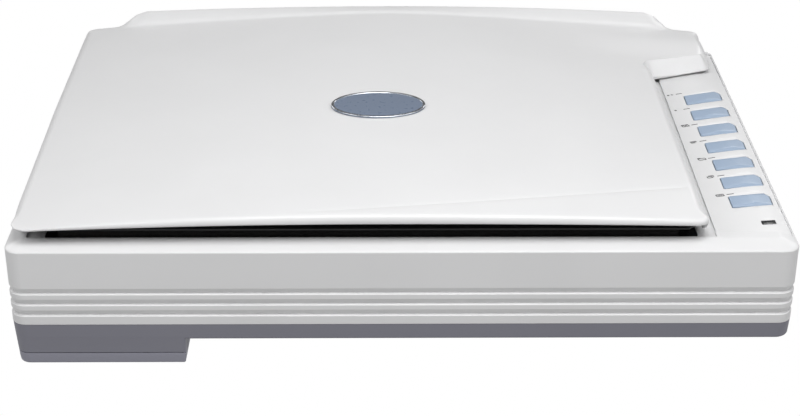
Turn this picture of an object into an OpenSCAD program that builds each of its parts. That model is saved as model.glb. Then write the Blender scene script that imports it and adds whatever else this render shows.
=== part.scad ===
// Flatbed scanner for A3 originals: a shallow two-part housing with a glass platen, a hinged and
// lifting lid, a side panel of seven keys, and a belt-driven scan carriage with its drive.
// Millimetres, +Z up, origin on the table under the middle of the body, front at -Y.

/* [Body] */
// Overall width of the housing, left to right
body_w = 580; // [576:1:584]
// Overall depth of the housing, front to back
body_d = 400; // [398:1:404]
// Radius of the housing's corners seen from above
corner_r = 12; // [11:0.5:13]
// Height of the crease between the front wall and the sloping rim
crease_z = 95; // [94:0.5:96]
// Height of the split between the light upper housing and the grey lower housing
split_z = 35; // [34.5:0.5:35.5]
// Height of the underside of the lower housing
under_z = 21.3; // [20.8:0.1:21.8]
// Width of the deep pod under the left end
pod_w = 127.3; // [120:1:132]
// Height of the seam between the pod and the foot cover
foot_z = 9.7; // [9.2:0.1:10.2]
// Wall thickness of the moulded housings
wall = 3; // [2.6:0.1:3.2]

/* [Platen] */
// Scanned width of the glass, left to right
window_w = 440; // [432:1:444]
// Scanned depth of the glass, front to back
window_d = 310; // [305:1:314]
// Centre of the glass, left to right
window_x = -25; // [-27:1:-23]
// Centre of the glass, front to back
window_y = -5; // [-7:1:-3]
// Thickness of the glass
glass_t = 3; // [2.5:0.1:3]

/* [Lid] */
// Height of the lid's middle at the front
lid_front_z = 123.5; // [123:0.5:124]
// Height of the lid's middle at the foot of the rear bar
lid_rear_z = 136.4; // [136:0.2:137]
// Fall of the lid's front from the middle to the left corner
lid_front_fall = 9.2; // [8.6:0.2:9.4]
// Fall of the lid's back from the middle to the left corner
lid_rear_fall = 14.4; // [14:0.2:15]
// Height of the middle of the raised rear bar of the lid
bar_z = 138.5; // [138:0.5:139]
// Thickness of the lid's skin
lid_t = 2.6; // [2.4:0.1:2.8]

/* [Keys] */
// Distance from one key to the next
key_pitch = 32.4; // [32:0.1:33]
// Width of a key, left to right
key_w = 33; // [32:0.5:33]
// Depth of a key, front to back
key_d = 18.5; // [17:0.5:19]
// Travel of a key
key_travel = 1.2; // [1:0.1:1.3]

/* [Drive] */
// Travel of the scan carriage
carriage_travel = 440; // [430:1:440]
// Diameter of the guide rod
rod_d = 8; // [7.8:0.1:8.2]
// Radial running clearance of the bushes and pivots
run_gap = 0.05; // [0.03:0.01:0.08]

/* [Hidden] */
$fn = 48;

light_plastic = [0.87, 0.88, 0.89];
grey_plastic = [0.43, 0.43, 0.46];
foot_plastic = [0.5, 0.5, 0.53];
key_blue = [0.66, 0.74, 0.85];
black_plastic = [0.06, 0.06, 0.07];
board_green = [0.1, 0.35, 0.2];
white_plastic = [0.93, 0.93, 0.93];
amber_plastic = [0.85, 0.75, 0.55];

hw = body_w / 2;
hd = body_d / 2;
inner_u = corner_r - 4;
rim_z = 100.2;
deck_z = 98;
deck_t = 3;
ledge_z = 88;
ledge_y = 183;
draft = 0.004;
seat_gap = 0.3;
seat_z = 97.6;
// tooth module and teeth of the motor's pinion and the gear it drives
gear_m = 0.8;
pinion_teeth = 12;
gear_teeth = 48;

// ---------- plain shapes ----------

// Box given by its lowest and highest corners
module block(lo, hi) {
    translate(lo) cube([hi[0] - lo[0], hi[1] - lo[1], hi[2] - lo[2]]);
}

// Upright cylinder from z0 to z1
module post(x, y, z0, z1, r) {
    translate([x, y, z0]) cylinder(h = z1 - z0, r = r);
}

// Cylinder along X from x0 to x1
module bar_x(x0, x1, y, z, r) {
    translate([x0, y, z]) rotate([0, 90, 0]) cylinder(h = x1 - x0, r = r);
}

// Cylinder along Y from y0 to y1
module bar_y(y0, y1, x, z, r) {
    translate([x, y1, z]) rotate([90, 0, 0]) cylinder(h = y1 - y0, r = r);
}

// Sweeps a wall profile round a rounded rectangle; the profile's x runs outward from the
// centres of the corners and its y is the height
module wall_ring(a, b, r) {
    for (k = [0:3]) {
        u = k % 2 == 0 ? a : b;
        v = k % 2 == 0 ? b : a;
        rotate([0, 0, 90 * k]) translate([u - r, v - r, 0]) {
            rotate([90, 0, 0]) linear_extrude(2 * (v - r)) children();
            rotate_extrude(angle = 90) children();
        }
    }
}

// Prism along X from x0 to x1 with its outline drawn as (y, z)
module prism_x(x0, x1) {
    translate([x0, 0, 0]) rotate([90, 0, 90]) linear_extrude(x1 - x0) children();
}

// Prism along Y from y0 to y1 with its outline drawn as (x, z)
module prism_y(y0, y1) {
    translate([0, y1, 0]) rotate([90, 0, 0]) linear_extrude(y1 - y0) children();
}

// Rounded rectangle between two corners
module round_plan(lo, hi, r) {
    translate([lo[0] + r, lo[1]]) square([hi[0] - lo[0] - 2 * r, hi[1] - lo[1]]);
    translate([lo[0], lo[1] + r]) square([hi[0] - lo[0], hi[1] - lo[1] - 2 * r]);
    for (x = [lo[0] + r, hi[0] - r], y = [lo[1] + r, hi[1] - r]) translate([x, y]) circle(r);
}

// Pan-head screw standing on its head's underside at z, shank going down for sign -1, up for 1
module screw(x, y, z, dir, d, len) {
    translate([x, y, z]) scale_dir(dir) {
        difference() {
            cylinder(h = d * 0.6, r = d);
            translate([-d * 0.6, -d * 0.12, d * 0.3]) cube([d * 1.2, d * 0.24, d]);
            translate([-d * 0.12, -d * 0.6, d * 0.3]) cube([d * 0.24, d * 1.2, d]);
        }
        translate([0, 0, -len]) cylinder(h = len + 0.1, r = d / 2);
    }
}

// Turns a screw over when its head faces down
module scale_dir(dir) {
    rotate([dir > 0 ? 0 : 180, 0, 0]) children();
}

// Coil of round wire about the Z axis
module coil(radius, wire, pitch, turns, steps) {
    sides = 6;
    n = round(turns * steps);
    pts = [for (i = [0:n], j = [0:sides - 1])
        let (a = 360 * i / steps, b = 360 * j / sides, rr = radius + wire * cos(b))
        [rr * cos(a), rr * sin(a), pitch * i / steps + wire * sin(b)]];
    quads = [for (i = [0:n - 1], j = [0:sides - 1])
        let (k = (j + 1) % sides)
        [[i * sides + j, (i + 1) * sides + j, (i + 1) * sides + k],
         [i * sides + j, (i + 1) * sides + k, i * sides + k]]];
    sides_faces = [for (q = quads, t = q) t];
    caps = [[for (j = [0:sides - 1]) j], [for (j = [sides - 1:-1:0]) n * sides + j]];
    polyhedron(points = pts, faces = concat(sides_faces, caps));
}

// ---------- lower housing and feet ----------

pod_x1 = -(hw - 1.7) + pod_w;
slab_edge = corner_r - 0.6;
side_u = corner_r - 1.7;
foot_post_x = hw - 56;
foot_post_y = [-112, 148];
boss_x = [-150, 60, 236];
boss_y = hd - 22;

// Outline of the left pod seen from above, shrunk by i
module pod_plan(i) {
    x0 = -hw + 1.7 + i;
    x1 = pod_x1 - max(i, 0);
    y = hd - 1.7 - i;
    r = side_u - i;
    translate([x0 + r, -y]) square([x1 - x0 - r, 2 * y]);
    translate([x0, -(y - r)]) square([r + 1, 2 * (y - r)]);
    for (s = [-1, 1]) translate([x0 + r, s * (y - r)]) circle(r);
}

// Distance of the lower housing's tapered wall from the centres of the corners
function low_u(z) = corner_r - 0.4 - 0.07 * (split_z - z);

// Wall profile of the lower housing
module lower_profile() {
    c = low_u(under_z + 2.5) - 2.5;
    arc_out = [for (a = [0:22.5:90]) [c + 2.5 * cos(a), under_z + 2.5 - 2.5 * sin(a)]];
    polygon(concat([[low_u(split_z), split_z]], arc_out, [[0.5, under_z], [0.5, under_z + wall],
        [corner_r - 5.9, under_z + wall], [corner_r - 4.9, under_z + wall + 1],
        [corner_r - 4.9, split_z - 3], [corner_r - 6.7, split_z - 1.5], [corner_r - 6.7, split_z + 3.2],
        [inner_u - 0.2, split_z + 3.2], [inner_u - 0.2, split_z]]));
}

car_x0 = -280;
car_x1 = -202;
car_y = 165;
car_z0 = 54;
car_z1 = 87.6;
clamp_x = [-248, -232];
rod_y = 0;
rod_z = 44;
rod_x0 = -hw + 5.6;
rod_x1 = car_x1 + carriage_travel + 8;
rail_y = 150;
rail_z = 46;
rail_x1 = hw - 46;
belt_y = -24;
belt_r = 8;
drive_x = -262;
idler_x = clamp_x[1] + carriage_travel + 20;
pinion_y = belt_y - gear_m * (pinion_teeth + gear_teeth) / 2;
bracket_z = 27;
bracket_posts = [[-280, -10], [-238, -10], [-238, -72], [-281, -72]];
lock_y = 18;
lock_slot = [12, 26];
flag_x = -226;
flag_y = 60;

module lower_housing() {
    floor_top = under_z + wall;
    color(grey_plastic) difference() {
        union() {
            wall_ring(hw, hd, corner_r) lower_profile();
            block([-hw + slab_edge, -hd + slab_edge, under_z], [hw - slab_edge, hd - slab_edge, floor_top]);
            difference() {
                hull() {
                    translate([0, 0, foot_z]) linear_extrude(0.1) pod_plan(0.5);
                    translate([0, 0, split_z - 2.1]) linear_extrude(0.1) pod_plan(-1.13);
                }
                block([pod_x1 - wall - 0.3, -hd, floor_top], [pod_x1 + 5, hd, split_z]);
            }
            for (y = foot_post_y) post(foot_post_x, y, 1.6, under_z + 1, 17);
        }
        translate([0, 0, foot_z + wall]) linear_extrude(split_z - 1.9 - foot_z - wall) pod_plan(3.2);
        for (y = foot_post_y) post(foot_post_x, y, 4, floor_top + 1, 13);
        for (x = boss_x, s = [-1, 1]) {
            post(x, s * boss_y, under_z - 1, floor_top + 1, 1.8);
            post(x, s * boss_y, under_z - 1, under_z + 1.6, 3.6);
        }
        block([-hw, lock_slot[0], 17], [-hw + 8, lock_slot[1], 23]);
        block([-hw + 4.1, 9.5, split_z - 4.2], [-hw + 8, 26, split_z + 4]);
    }
    color(grey_plastic) {
        // supports of the guide rod, the rails and the drive bracket
        difference() {
            block([rod_x0 - 0.4, -6, foot_z + wall - 0.1], [rod_x0 + 5, 6, rod_z]);
            bar_x(rod_x0 - 0.1, rod_x0 + 6, rod_y, rod_z, rod_d / 2);
        }
        difference() {
            block([rod_x1 - 5, -6, floor_top - 0.1], [rod_x1 + 0.4, 6, rod_z]);
            bar_x(rod_x1 - 6, rod_x1 + 0.1, rod_y, rod_z, rod_d / 2);
        }
        for (s = [-1, 1]) {
            block([-hw + 12, s * rail_y - 1.5, foot_z + wall - 0.1],
                [pod_x1 - wall - 0.5, s * rail_y + 1.5, rail_z]);
            block([pod_x1 - wall - 0.5, s * rail_y - 1.5, floor_top - 0.1],
                [rail_x1, s * rail_y + 1.5, rail_z]);
        }
        for (p = bracket_posts) difference() {
            post(p[0], p[1], foot_z + wall - 0.1, bracket_z, 3.5);
            post(p[0], p[1], foot_z + wall + 2, bracket_z + 1, 1.3);
        }
        post(flag_x + 1, flag_y, foot_z + wall - 0.1, 39.9, 3.2);
        // spring hook and screw boss of the idler's bracket
        post(idler_x - 28.6, belt_y, floor_top - 0.1, 35, 1.5);
        difference() {
            post(idler_x + 12, belt_y - 8, floor_top - 0.1, 27.1, 2.5);
            post(idler_x + 12, belt_y - 8, floor_top + 0.5, 28, 0.95);
        }
    }
}

module foot_cover() {
    color(foot_plastic) difference() {
        hull() {
            translate([0, 0, foot_z - 0.9]) linear_extrude(0.5) pod_plan(0.55);
            translate([0, 0, 3.6]) linear_extrude(0.1) pod_plan(0.95);
            translate([0, 0, 1.3]) linear_extrude(0.1) pod_plan(1.5);
            translate([0, 0, 0.6]) linear_extrude(0.1) pod_plan(2.4);
        }
        translate([0, 0, 3.4]) linear_extrude(foot_z) pod_plan(4.5);
        for (x = foot_pad_x, y = foot_pad_y) post(x, y, 0, 1.6, 8.2);
    }
}

foot_pad_x = [-hw + 28, pod_x1 - 24];
foot_pad_y = [-hd + 28, hd - 28];

module rubber_feet() {
    color(black_plastic) {
        for (x = foot_pad_x, y = foot_pad_y) post(x, y, 0, 1.6, 8);
        for (y = foot_post_y) post(foot_post_x, y, 0, 1.6, 13);
    }
}

// ---------- upper housing ----------

function out_u(z) = corner_r - draft * (crease_z - z);

// Wall profile of the upper housing: plain band and three louvred grooves
module upper_profile() {
    louvres = [for (i = [2:-1:0]) let (t = 65.5 - 9.05 * i)
        each [[out_u(t - 5.3), t - 5.3], [out_u(t) - 1.9, t - 4.4], [out_u(t), t]]];
    polygon(concat([[corner_r, crease_z], [inner_u, crease_z], [inner_u, split_z],
        [out_u(split_z), split_z]], louvres));
}

// Thin level slice of the housing's outline, shrunk by i, with corners of radius r
module slice(i, z, r) {
    translate([0, 0, z]) linear_extrude(0.1) round_plan([-hw + i, -hd + i], [hw - i, hd - i], r);
}

// Deck with the sloping rim round it
module deck() {
    difference() {
        hull() {
            slice(0, crease_z - 0.1, corner_r);
            slice(0.9, crease_z + 0.8, corner_r - 0.9);
            slice(8.5, 98.6, 6);
            slice(13.5, rim_z - 0.1, 3);
        }
        translate([0, 0, deck_z]) linear_extrude(10) round_plan([-hw + 15, -hd + 15], [hw - 15, hd - 15], 3);
    }
}

panel_x0 = 230.6;
seat_x0 = 228.6;
panel_y0 = -hd + 22.6;
panel_y1 = hd - 21;
glass_w = window_w + 16;
glass_d = window_d + 16;
glass_z = deck_z - 1.8 - glass_t;
bezel_lo = [-262, -hd + 16.2];
bezel_hi = [217, hd - 42];
hinge_x = [-200, 160];
axis_y = hd - 12;
axis_z = 104;
port_z = 45;
switch_x = 222;
switch_z = 56;

// Outline of the panel's cross-section, lowered by drop
function panel_top(drop) = [for (p = [[panel_x0, 100], [258, 100], [266, 99.7], [273, 99], [279, 97.9],
    [284, 96.6], [hw - 2.3, 95.4]]) [p[0], p[1] - drop]];

module upper_housing() {
    sleeve = 1.6;
    color(light_plastic) difference() {
        union() {
            wall_ring(hw, hd, corner_r) upper_profile();
            deck();
            glass_ring(4, 90.2, deck_z - deck_t + 0.1);
            // level strip between the panel and the front rim
            block([panel_x0 - 0.4, -hd + 14.9, deck_z - 1], [hw - 14.9, panel_y0 - 0.3, 100.1]);
            for (x = boss_x, s = [-1, 1]) post(x, s * boss_y, under_z + wall + 0.1, deck_z - 1, 4);
            for (x = hinge_x) block([x - 14, ledge_y - 1, 50], [x + 14, hd - 3.9, ledge_z]);
        }
        // platen: through opening, glass pocket, bezel pocket
        block([window_x - window_w / 2 - 4, window_y - window_d / 2 - 4, 80],
            [window_x + window_w / 2 + 4, window_y + window_d / 2 + 4, 110]);
        block([window_x - glass_w / 2 - 0.5, window_y - glass_d / 2 - 0.5, glass_z],
            [window_x + glass_w / 2 + 0.5, window_y + glass_d / 2 + 0.5, 110]);
        block([bezel_lo[0] - seat_gap, bezel_lo[1] - seat_gap, deck_z - 1.7],
            [bezel_hi[0] + seat_gap, bezel_hi[1] + seat_gap, 110]);
        // seat of the side panel and the opening under it
        prism_y(panel_y0 - 0.3, panel_y1 + 0.3)
            polygon(concat([[seat_x0, 110]], [[seat_x0, seat_z]],
                [for (i = [1:6]) panel_top(2.4)[i] + [i == 6 ? 0.4 : 0, 0]], [[hw - 1.9, 110]]));
        block([243, panel_y0 + 6, 80], [284, 112, 110]);
        // step down to the hinge ledge at the back
        block([-hw - 1, ledge_y, ledge_z], [hw + 1, hd + 1, 110]);
        for (x = hinge_x) {
            block([x - 11.2, axis_y - 3.4, 40], [x + 11.2, axis_y + 5.4, 110]);
        }
        for (x = boss_x, s = [-1, 1]) post(x, s * boss_y, under_z, 60, 1.25);
        // openings for the sockets and the switch in the back wall
        block([250.7, hd - 10, port_z - 5.8], [263.3, hd + 1, port_z + 5.8]);
        block([267.7, hd - 10, port_z - 5.8], [279.3, hd + 1, port_z + 5.8]);
        block([switch_x - 8.3, hd - 10, switch_z - 6.3], [switch_x + 8.3, hd + 1, switch_z + 6.3]);
        block([switch_x - 9.8, hd - 0.65, switch_z - 7.8], [switch_x + 9.8, hd + 1, switch_z + 7.8]);
    }
    color(light_plastic) {
        // ledge and riser behind the deck
        difference() {
            union() {
                block([-hw + 3.9, ledge_y - 3, ledge_z - 3], [hw - 3.9, hd - 3.9, ledge_z]);
                block([-hw + 3.9, ledge_y - 3, ledge_z - 3], [hw - 3.9, ledge_y, deck_z]);
            }
            for (x = hinge_x) block([x - 11.2, axis_y - 3.4, 40], [x + 11.2, axis_y + 5.4, 110]);
            block([seat_x0, ledge_y - 4, seat_z], [hw, hd, 110]);
        }
    }
}

// Thick frame of the deck that carries the glass, with margin m round the pocket
module glass_ring(m, z0, z1) {
    block([window_x - glass_w / 2 - m, window_y - glass_d / 2 - m, z0],
        [window_x + glass_w / 2 + m, window_y + glass_d / 2 + m, z1]);
}

module glass_bezel() {
    color(black_plastic) difference() {
        translate([0, 0, deck_z - 1.6]) linear_extrude(1.6) round_plan(bezel_lo, bezel_hi, 6);
        block([window_x - window_w / 2, window_y - window_d / 2, 90],
            [window_x + window_w / 2, window_y + window_d / 2, 110]);
    }
}

module platen_glass() {
    color([0.8, 0.9, 0.88, 0.4])
    block([window_x - glass_w / 2, window_y - glass_d / 2, glass_z + 0.02],
        [window_x + glass_w / 2, window_y + glass_d / 2, glass_z + glass_t]);
}

module calibration_strip() {
    x0 = window_x - window_w / 2 - 3.5;
    color(white_plastic)
    block([x0, window_y - window_d / 2 + 2, glass_z - 0.35], [x0 + 9, window_y + window_d / 2 - 2, glass_z]);
}

// ---------- side panel and keys ----------

board_z = 86;
key_count = 7;
key_y0 = -139;

function key_x(i) = 250.2 - 0.55 * i;
function key_y(i) = key_y0 + key_pitch * i;
function key_slope(i) = 0.37 + 0.02 * i;
function stem_x(i) = key_x(i) + 14;
function stem_y(i) = key_y(i) + key_d / 2 + 14 * key_slope(i);

// Plan of key i grown by g: a slanted four-sided key with its far right corner cut off
module key_plan(i, g) {
    s = key_slope(i);
    x0 = key_x(i) - g;
    x1 = key_x(i) + key_w + g;
    yf = key_y(i) - g;
    yb = key_y(i) + key_d + g;
    polygon([[x0, yf - s * g], [x1, yf + s * (key_w + g)], [x1 + 0.3, yb + s * key_w - 5],
        [x1 - 3.5, yb + s * (key_w - 3.5)], [x0, yb - s * g]]);
}

module button_panel() {
    color(light_plastic) difference() {
        prism_y(panel_y0, panel_y1)
            polygon(concat(panel_top(0), [[hw - 2.4, 94.6]],
                [for (i = [5:-1:1]) panel_top(2.2)[i]], [[panel_x0, 97.8]]));
        for (i = [0:key_count - 1]) translate([0, 0, 90]) linear_extrude(20) key_plan(i, 0.5);
        translate([0, 0, 90]) linear_extrude(20) window_plan(0.15);
    }
    // posts between the keys that carry the board
    color(light_plastic) for (i = [0, 3, 6], dx = [-1, 27]) {
        y = key_y(i) + key_slope(i) * dx - (key_pitch - key_d) / 2;
        post(key_x(i) + dx, y, board_z + 1.65, dx > 0 ? 97.3 : 98.5, 2);
    }
}

// One key: cap with the panel's curve, retaining flange and stem
module key(i) {
    color(key_blue) {
        intersection() {
            translate([0, 0, 90]) linear_extrude(20) key_plan(i, 0);
            prism_y(-hd, hd) polygon([[240, 94], [240, 100.7], [258, 100.7], [266, 100.3], [273, 99.3],
                [279, 97.8], [286, 96], [286, 92.6], [270, 92.6], [270, 94]]);
        }
        translate([0, 0, board_z + key_travel + 5.8]) linear_extrude(1.1) key_flange_plan(i);
        post(stem_x(i), stem_y(i), board_z + key_travel + 5.65, 94.2, 2);
    }
}

// Flange that keeps key i under the panel
module key_flange_plan(i) {
    intersection() {
        key_plan(i, 1.6);
        translate([key_x(i) - 1.6, -hd]) square([key_w + 1.4, 2 * hd]);
    }
}

module window_plan(g) {
    s = 0.4;
    x = 267.5;
    y = -165.5;
    polygon([[x - g, y - g], [x + 11.5 + g, y + 11.5 * s - g], [x + 11.5 + g, y + 11.5 * s + 6.4 + g],
        [x - g, y + 6.4 + g]]);
}

module status_window() {
    color(black_plastic) intersection() {
        translate([0, 0, 90]) linear_extrude(20) window_plan(0);
        prism_y(-hd, 0) polygon(concat(panel_top(0.3), [[hw, 94], [panel_x0, 94]]));
    }
}

module button_board() {
    color(board_green) {
        block([245, panel_y0 + 8, board_z], [281, 108, board_z + 1.6]);
        // lamp under the status window, connector
        post(273, -160, board_z + 1.5, board_z + 6.5, 1.5);
        block([248, 92, board_z + 1.5], [262, 100, board_z + 6]);
    }
}

module tact_switches() {
    color([0.25, 0.25, 0.27]) for (i = [0:key_count - 1]) {
        block([stem_x(i) - 3, stem_y(i) - 3, board_z + 1.65], [stem_x(i) + 3, stem_y(i) + 3, board_z + 4.9]);
        post(stem_x(i), stem_y(i), board_z + 4.8, board_z + 5.6, 1.7);
    }
}

// ---------- electronics at the back right ----------

main_z = 37.7;

module main_board() {
    top = main_z + 1.5;
    color(board_green) {
        block([247, 20, main_z], [283, 182, main_z + 1.6]);
        block([254, 60, top], [274, 80, top + 2]);
        block([256, 92, top], [268, 106, top + 1.5]);
        for (y = [34, 46, 120, 132]) post(276, y, top, top + 9, 4);
        block([250, 24, top], [272, 30, top + 6.5]);
        block([251, 112, top], [268, 124, top + 2.5]);
        for (y = [30, 172]) post(265, y, under_z + wall + 0.05, main_z + 0.1, 3);
    }
}

module usb_port() {
    color([0.75, 0.76, 0.78]) difference() {
        block([251, 182.5, port_z - 5.5], [263, hd - 1.2, port_z + 5.5]);
        block([252, 186, port_z - 4.5], [262, hd, port_z + 4.5]);
    }
    color(white_plastic) block([254, 185.5, port_z - 1.5], [260, hd - 4, port_z + 2]);
}

module dc_jack() {
    color(black_plastic) {
        difference() {
            block([268, 182.5, port_z - 5.5], [279, hd - 1.2, port_z + 5.5]);
            bar_y(187, hd, 273.5, port_z, 2.75);
        }
        bar_y(186.5, hd - 3, 273.5, port_z, 1);
    }
}

module power_switch_frame() {
    color(black_plastic) difference() {
        union() {
            block([switch_x - 8, hd - 14, switch_z - 6], [switch_x + 8, hd - 1.2, switch_z + 6]);
            block([switch_x - 9.5, hd - 0.55, switch_z - 7.5], [switch_x + 9.5, hd - 0.05, switch_z + 7.5]);
            block([switch_x - 8, hd - 1.3, switch_z - 6], [switch_x + 8, hd - 0.5, switch_z + 6]);
        }
        block([switch_x - 6.6, hd - 11, switch_z - 4.2], [switch_x + 6.6, hd + 1, switch_z + 4.2]);
        post(switch_x, hd - 6, switch_z - 5.2, switch_z + 5.2, 1 + run_gap);
    }
}

module power_rocker() {
    color([0.12, 0.12, 0.13]) translate([switch_x, hd - 6, 0]) rotate([0, 0, -8]) {
        translate([0, 0, switch_z - 3.9]) linear_extrude(7.8)
            polygon([[-5.6, 1], [-5.9, 5], [0, 4.2], [5.9, 5], [5.6, 1], [2.5, -2.4], [-2.5, -2.4]]);
        translate([0, 0, switch_z - 5]) cylinder(h = 10, r = 1);
    }
}

// ---------- guide and drive ----------

module guide_rod() {
    color([0.78, 0.79, 0.8]) bar_x(rod_x0, rod_x1, rod_y, rod_z, rod_d / 2 - 0.02);
}

// Caps that hold the rod's two ends down
module rod_clamps() {
    color(grey_plastic) for (x = [rod_x0 - 0.4, rod_x1 - 5]) difference() {
        block([x, -6, rod_z + 0.05], [x + 5.4, 6, rod_z + 7.5]);
        bar_x(x - 1, x + 7, rod_y, rod_z, rod_d / 2 + 0.02);
    }
}

module slide_rails() {
    color([0.72, 0.73, 0.75]) for (s = [-1, 1]) difference() {
        block([-hw + 12, s * rail_y - 2.6, rail_z - 4], [rail_x1, s * rail_y + 2.6, rail_z + 1.2]);
        block([-hw + 11, s * rail_y - 1.6, rail_z - 5], [rail_x1 + 1, s * rail_y + 1.6, rail_z + 0.1]);
    }
}

// Point on the involute of base radius rb at roll angle t, and a point turned about the origin
function inv_pt(rb, t) = [rb * (cos(t) + t * PI / 180 * sin(t)), rb * (sin(t) - t * PI / 180 * cos(t))];
function turn(p, a) = [p[0] * cos(a) - p[1] * sin(a), p[0] * sin(a) + p[1] * cos(a)];
// Spur gear outline with involute flanks and a little backlash, a tooth centred at angle phase
module gear_plan(teeth, m, phase) {
    rp = m * teeth / 2;
    rb = rp * cos(20);
    ra = rp + 0.75 * m;
    rf = rp - 1.1 * m;
    t_tip = sqrt(pow(ra / rb, 2) - 1) * 180 / PI;
    t_pitch = tan(20) * 180 / PI;
    half = 90 / teeth - 0.045 / rp * 180 / PI;
    lean = half + atan2(inv_pt(rb, t_pitch)[1], inv_pt(rb, t_pitch)[0]);
    polygon([for (k = [0:teeth - 1]) let (a = 360 * k / teeth + phase) each [
        turn([rf, 0], a - lean),
        for (s = [0:0.5:1]) turn(inv_pt(rb, t_tip * s), a - lean),
        for (s = [1:-0.5:0]) turn([inv_pt(rb, t_tip * s)[0], -inv_pt(rb, t_tip * s)[1]], a + lean),
        turn([rf, 0], a + lean)]]);
}

module motor_bracket() {
    color([0.7, 0.71, 0.73]) difference() {
        block([-284.5, -78, bracket_z], [-234, -6.4, bracket_z + 1.5]);
        post(drive_x, pinion_y, 20, 40, 4);
        for (s = [-1, 1]) post(drive_x + s * 14, pinion_y, 20, 40, 1.1);
        post(drive_x, belt_y, 20, 40, 2);
        for (p = bracket_posts) post(p[0], p[1], 20, 40, 1.5);
    }
}

module drive_motor() {
    color([0.6, 0.6, 0.62]) {
        post(drive_x, pinion_y, foot_z + wall + 0.6, bracket_z - 0.1, 17);
        difference() {
            post(drive_x, pinion_y, bracket_z - 0.2, bracket_z + 1.4, 3.8);
            post(drive_x, pinion_y, bracket_z - 0.1, bracket_z + 2, 1 + run_gap);
        }
    }
}

// Pinion pressed on the motor's shaft, which turns with it
module motor_pinion() {
    color([0.85, 0.75, 0.4]) {
        translate([drive_x, pinion_y, 29.4]) linear_extrude(6.2) gear_plan(pinion_teeth, gear_m, 90);
        post(drive_x, pinion_y, bracket_z, 36.6, 1);
    }
}

module drive_gear() {
    color(white_plastic) difference() {
        union() {
            translate([drive_x, belt_y, 30]) linear_extrude(5) gear_plan(gear_teeth, gear_m, -90 + 180 / gear_teeth);
            post(drive_x, belt_y, 34.9, 38.5, 6);
            pulley_body(drive_x);
        }
        post(drive_x, belt_y, 29, 60, 2 + run_gap);
    }
}

// Flanged pulley drum for the belt
module pulley_body(x) {
    post(x, belt_y, 38.4, 39.6, belt_r + 2);
    post(x, belt_y, 39.5, 48.5, belt_r - 0.15);
    post(x, belt_y, 48.4, 49.6, belt_r + 2);
}

module pulley_axles() {
    color([0.75, 0.76, 0.78]) {
        post(drive_x, belt_y, bracket_z - 1.5, 52, 1.98);
        post(drive_x, belt_y, bracket_z + 1.55, 29.9, 3.4);
        post(idler_x, belt_y, 27.2, 52, 1.98);
        post(idler_x, belt_y, 35, 38.3, 3.4);
    }
}

module idler_pulley() {
    color(white_plastic) difference() {
        pulley_body(idler_x);
        post(idler_x, belt_y, 30, 60, 2 + run_gap);
    }
}

module tension_bracket() {
    color([0.7, 0.71, 0.73]) difference() {
        union() {
            block([idler_x - 12, belt_y - 12, 27.2], [idler_x + 17, belt_y + 12, 28.7]);
            block([idler_x - 12, belt_y - 12, 24.4], [idler_x + 14, belt_y - 10.5, 28]);
            block([idler_x - 12, belt_y + 10.5, 24.4], [idler_x + 14, belt_y + 12, 28]);
            block([idler_x + 15.5, belt_y - 6, 24.4], [idler_x + 17, belt_y + 6, 28]);
            block([idler_x - 7, belt_y - 7, 28.6], [idler_x + 7, belt_y + 7, 35]);
        }
        post(idler_x, belt_y, 20, 40, 2.02);
        post(idler_x + 12, belt_y - 8, 20, 40, 1);
    }
}

module tension_spring() {
    color([0.7, 0.7, 0.72]) translate([idler_x - 26.5, belt_y, 32]) rotate([0, 90, 0]) coil(2.4, 0.4, 1.6, 11, 10);
}

// Toothed belt as a closed loop round the two pulleys
module drive_belt() {
    color(black_plastic) translate([0, 0, 41]) linear_extrude(6) difference() {
        belt_plan(belt_r + 1.25);
        belt_plan(belt_r);
    }
}

module belt_plan(r) {
    translate([drive_x, belt_y - r]) square([idler_x - drive_x, 2 * r]);
    for (x = [drive_x, idler_x]) translate([x, belt_y]) circle(r);
}

// ---------- scan carriage ----------

slit_x = window_x - window_w / 2 - 7;
optic_z = 68;

module carriage_housing() {
    w = 2.2;
    color([0.13, 0.13, 0.14]) {
        difference() {
            union() {
                block([car_x0, -car_y, car_z0], [car_x1, car_y, car_z1]);
                block([car_x0 + 2, -9, rod_z - 7], [car_x1 - 4, 9, car_z0 + 0.1]);
            }
            block([car_x0 + w, -car_y + w, car_z0 + w], [car_x1 - w, car_y - w, car_z1 + 1]);
            bar_x(car_x0, car_x1, rod_y, rod_z, rod_d / 2 + 0.8);
            for (x = bush_x) bar_x(x, x + 12.2, rod_y, rod_z, 6.03);
            block([car_x0 + 14.2, -10, rod_z - 8], [car_x1 - 16.2, 10, rod_z + 5]);
            block([car_x1 - 4, -36, optic_z - 8], [car_x1 + 1, 36, optic_z + 8]);
        }
        // cradle of the lens, end brackets of the mirrors, home flag, lock lug
        difference() {
            block([-228, -12, car_z0 + w - 0.1], [-216, 12, optic_z]);
            bar_x(-230, -214, 0, optic_z, 8.1);
        }
        for (s = [-1, 1]) for (x = [-272, -250, -234]) block([x - 4, s * (car_y - 5) - 2.85, car_z0 + w - 0.1],
            [x + 4, s * (car_y - 5) + 2.85, car_z0 + 4]);
        block([flag_x - 5, flag_y - 0.5, 44], [flag_x + 5, flag_y + 0.5, car_z0 + 0.1]);
        difference() {
            block([-hw + 6, lock_y + 6, 55], [car_x0 + 0.1, lock_y + 13, 62]);
            bar_y(lock_y + 5, lock_y + 12, -hw + 7.8, 58.5, 1.2);
        }
    }
}

bush_x = [car_x0 + 2, car_x1 - 16.2];

module carriage_cover() {
    color([0.16, 0.16, 0.17]) difference() {
        block([car_x0, -car_y, car_z1 + 0.02], [car_x1, car_y, car_z1 + 1.6]);
        block([slit_x - 5, -156, 80], [slit_x + 5, 156, 100]);
        block([-244.4, -156, 80], [-236.6, 156, 100]);
    }
}

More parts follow.
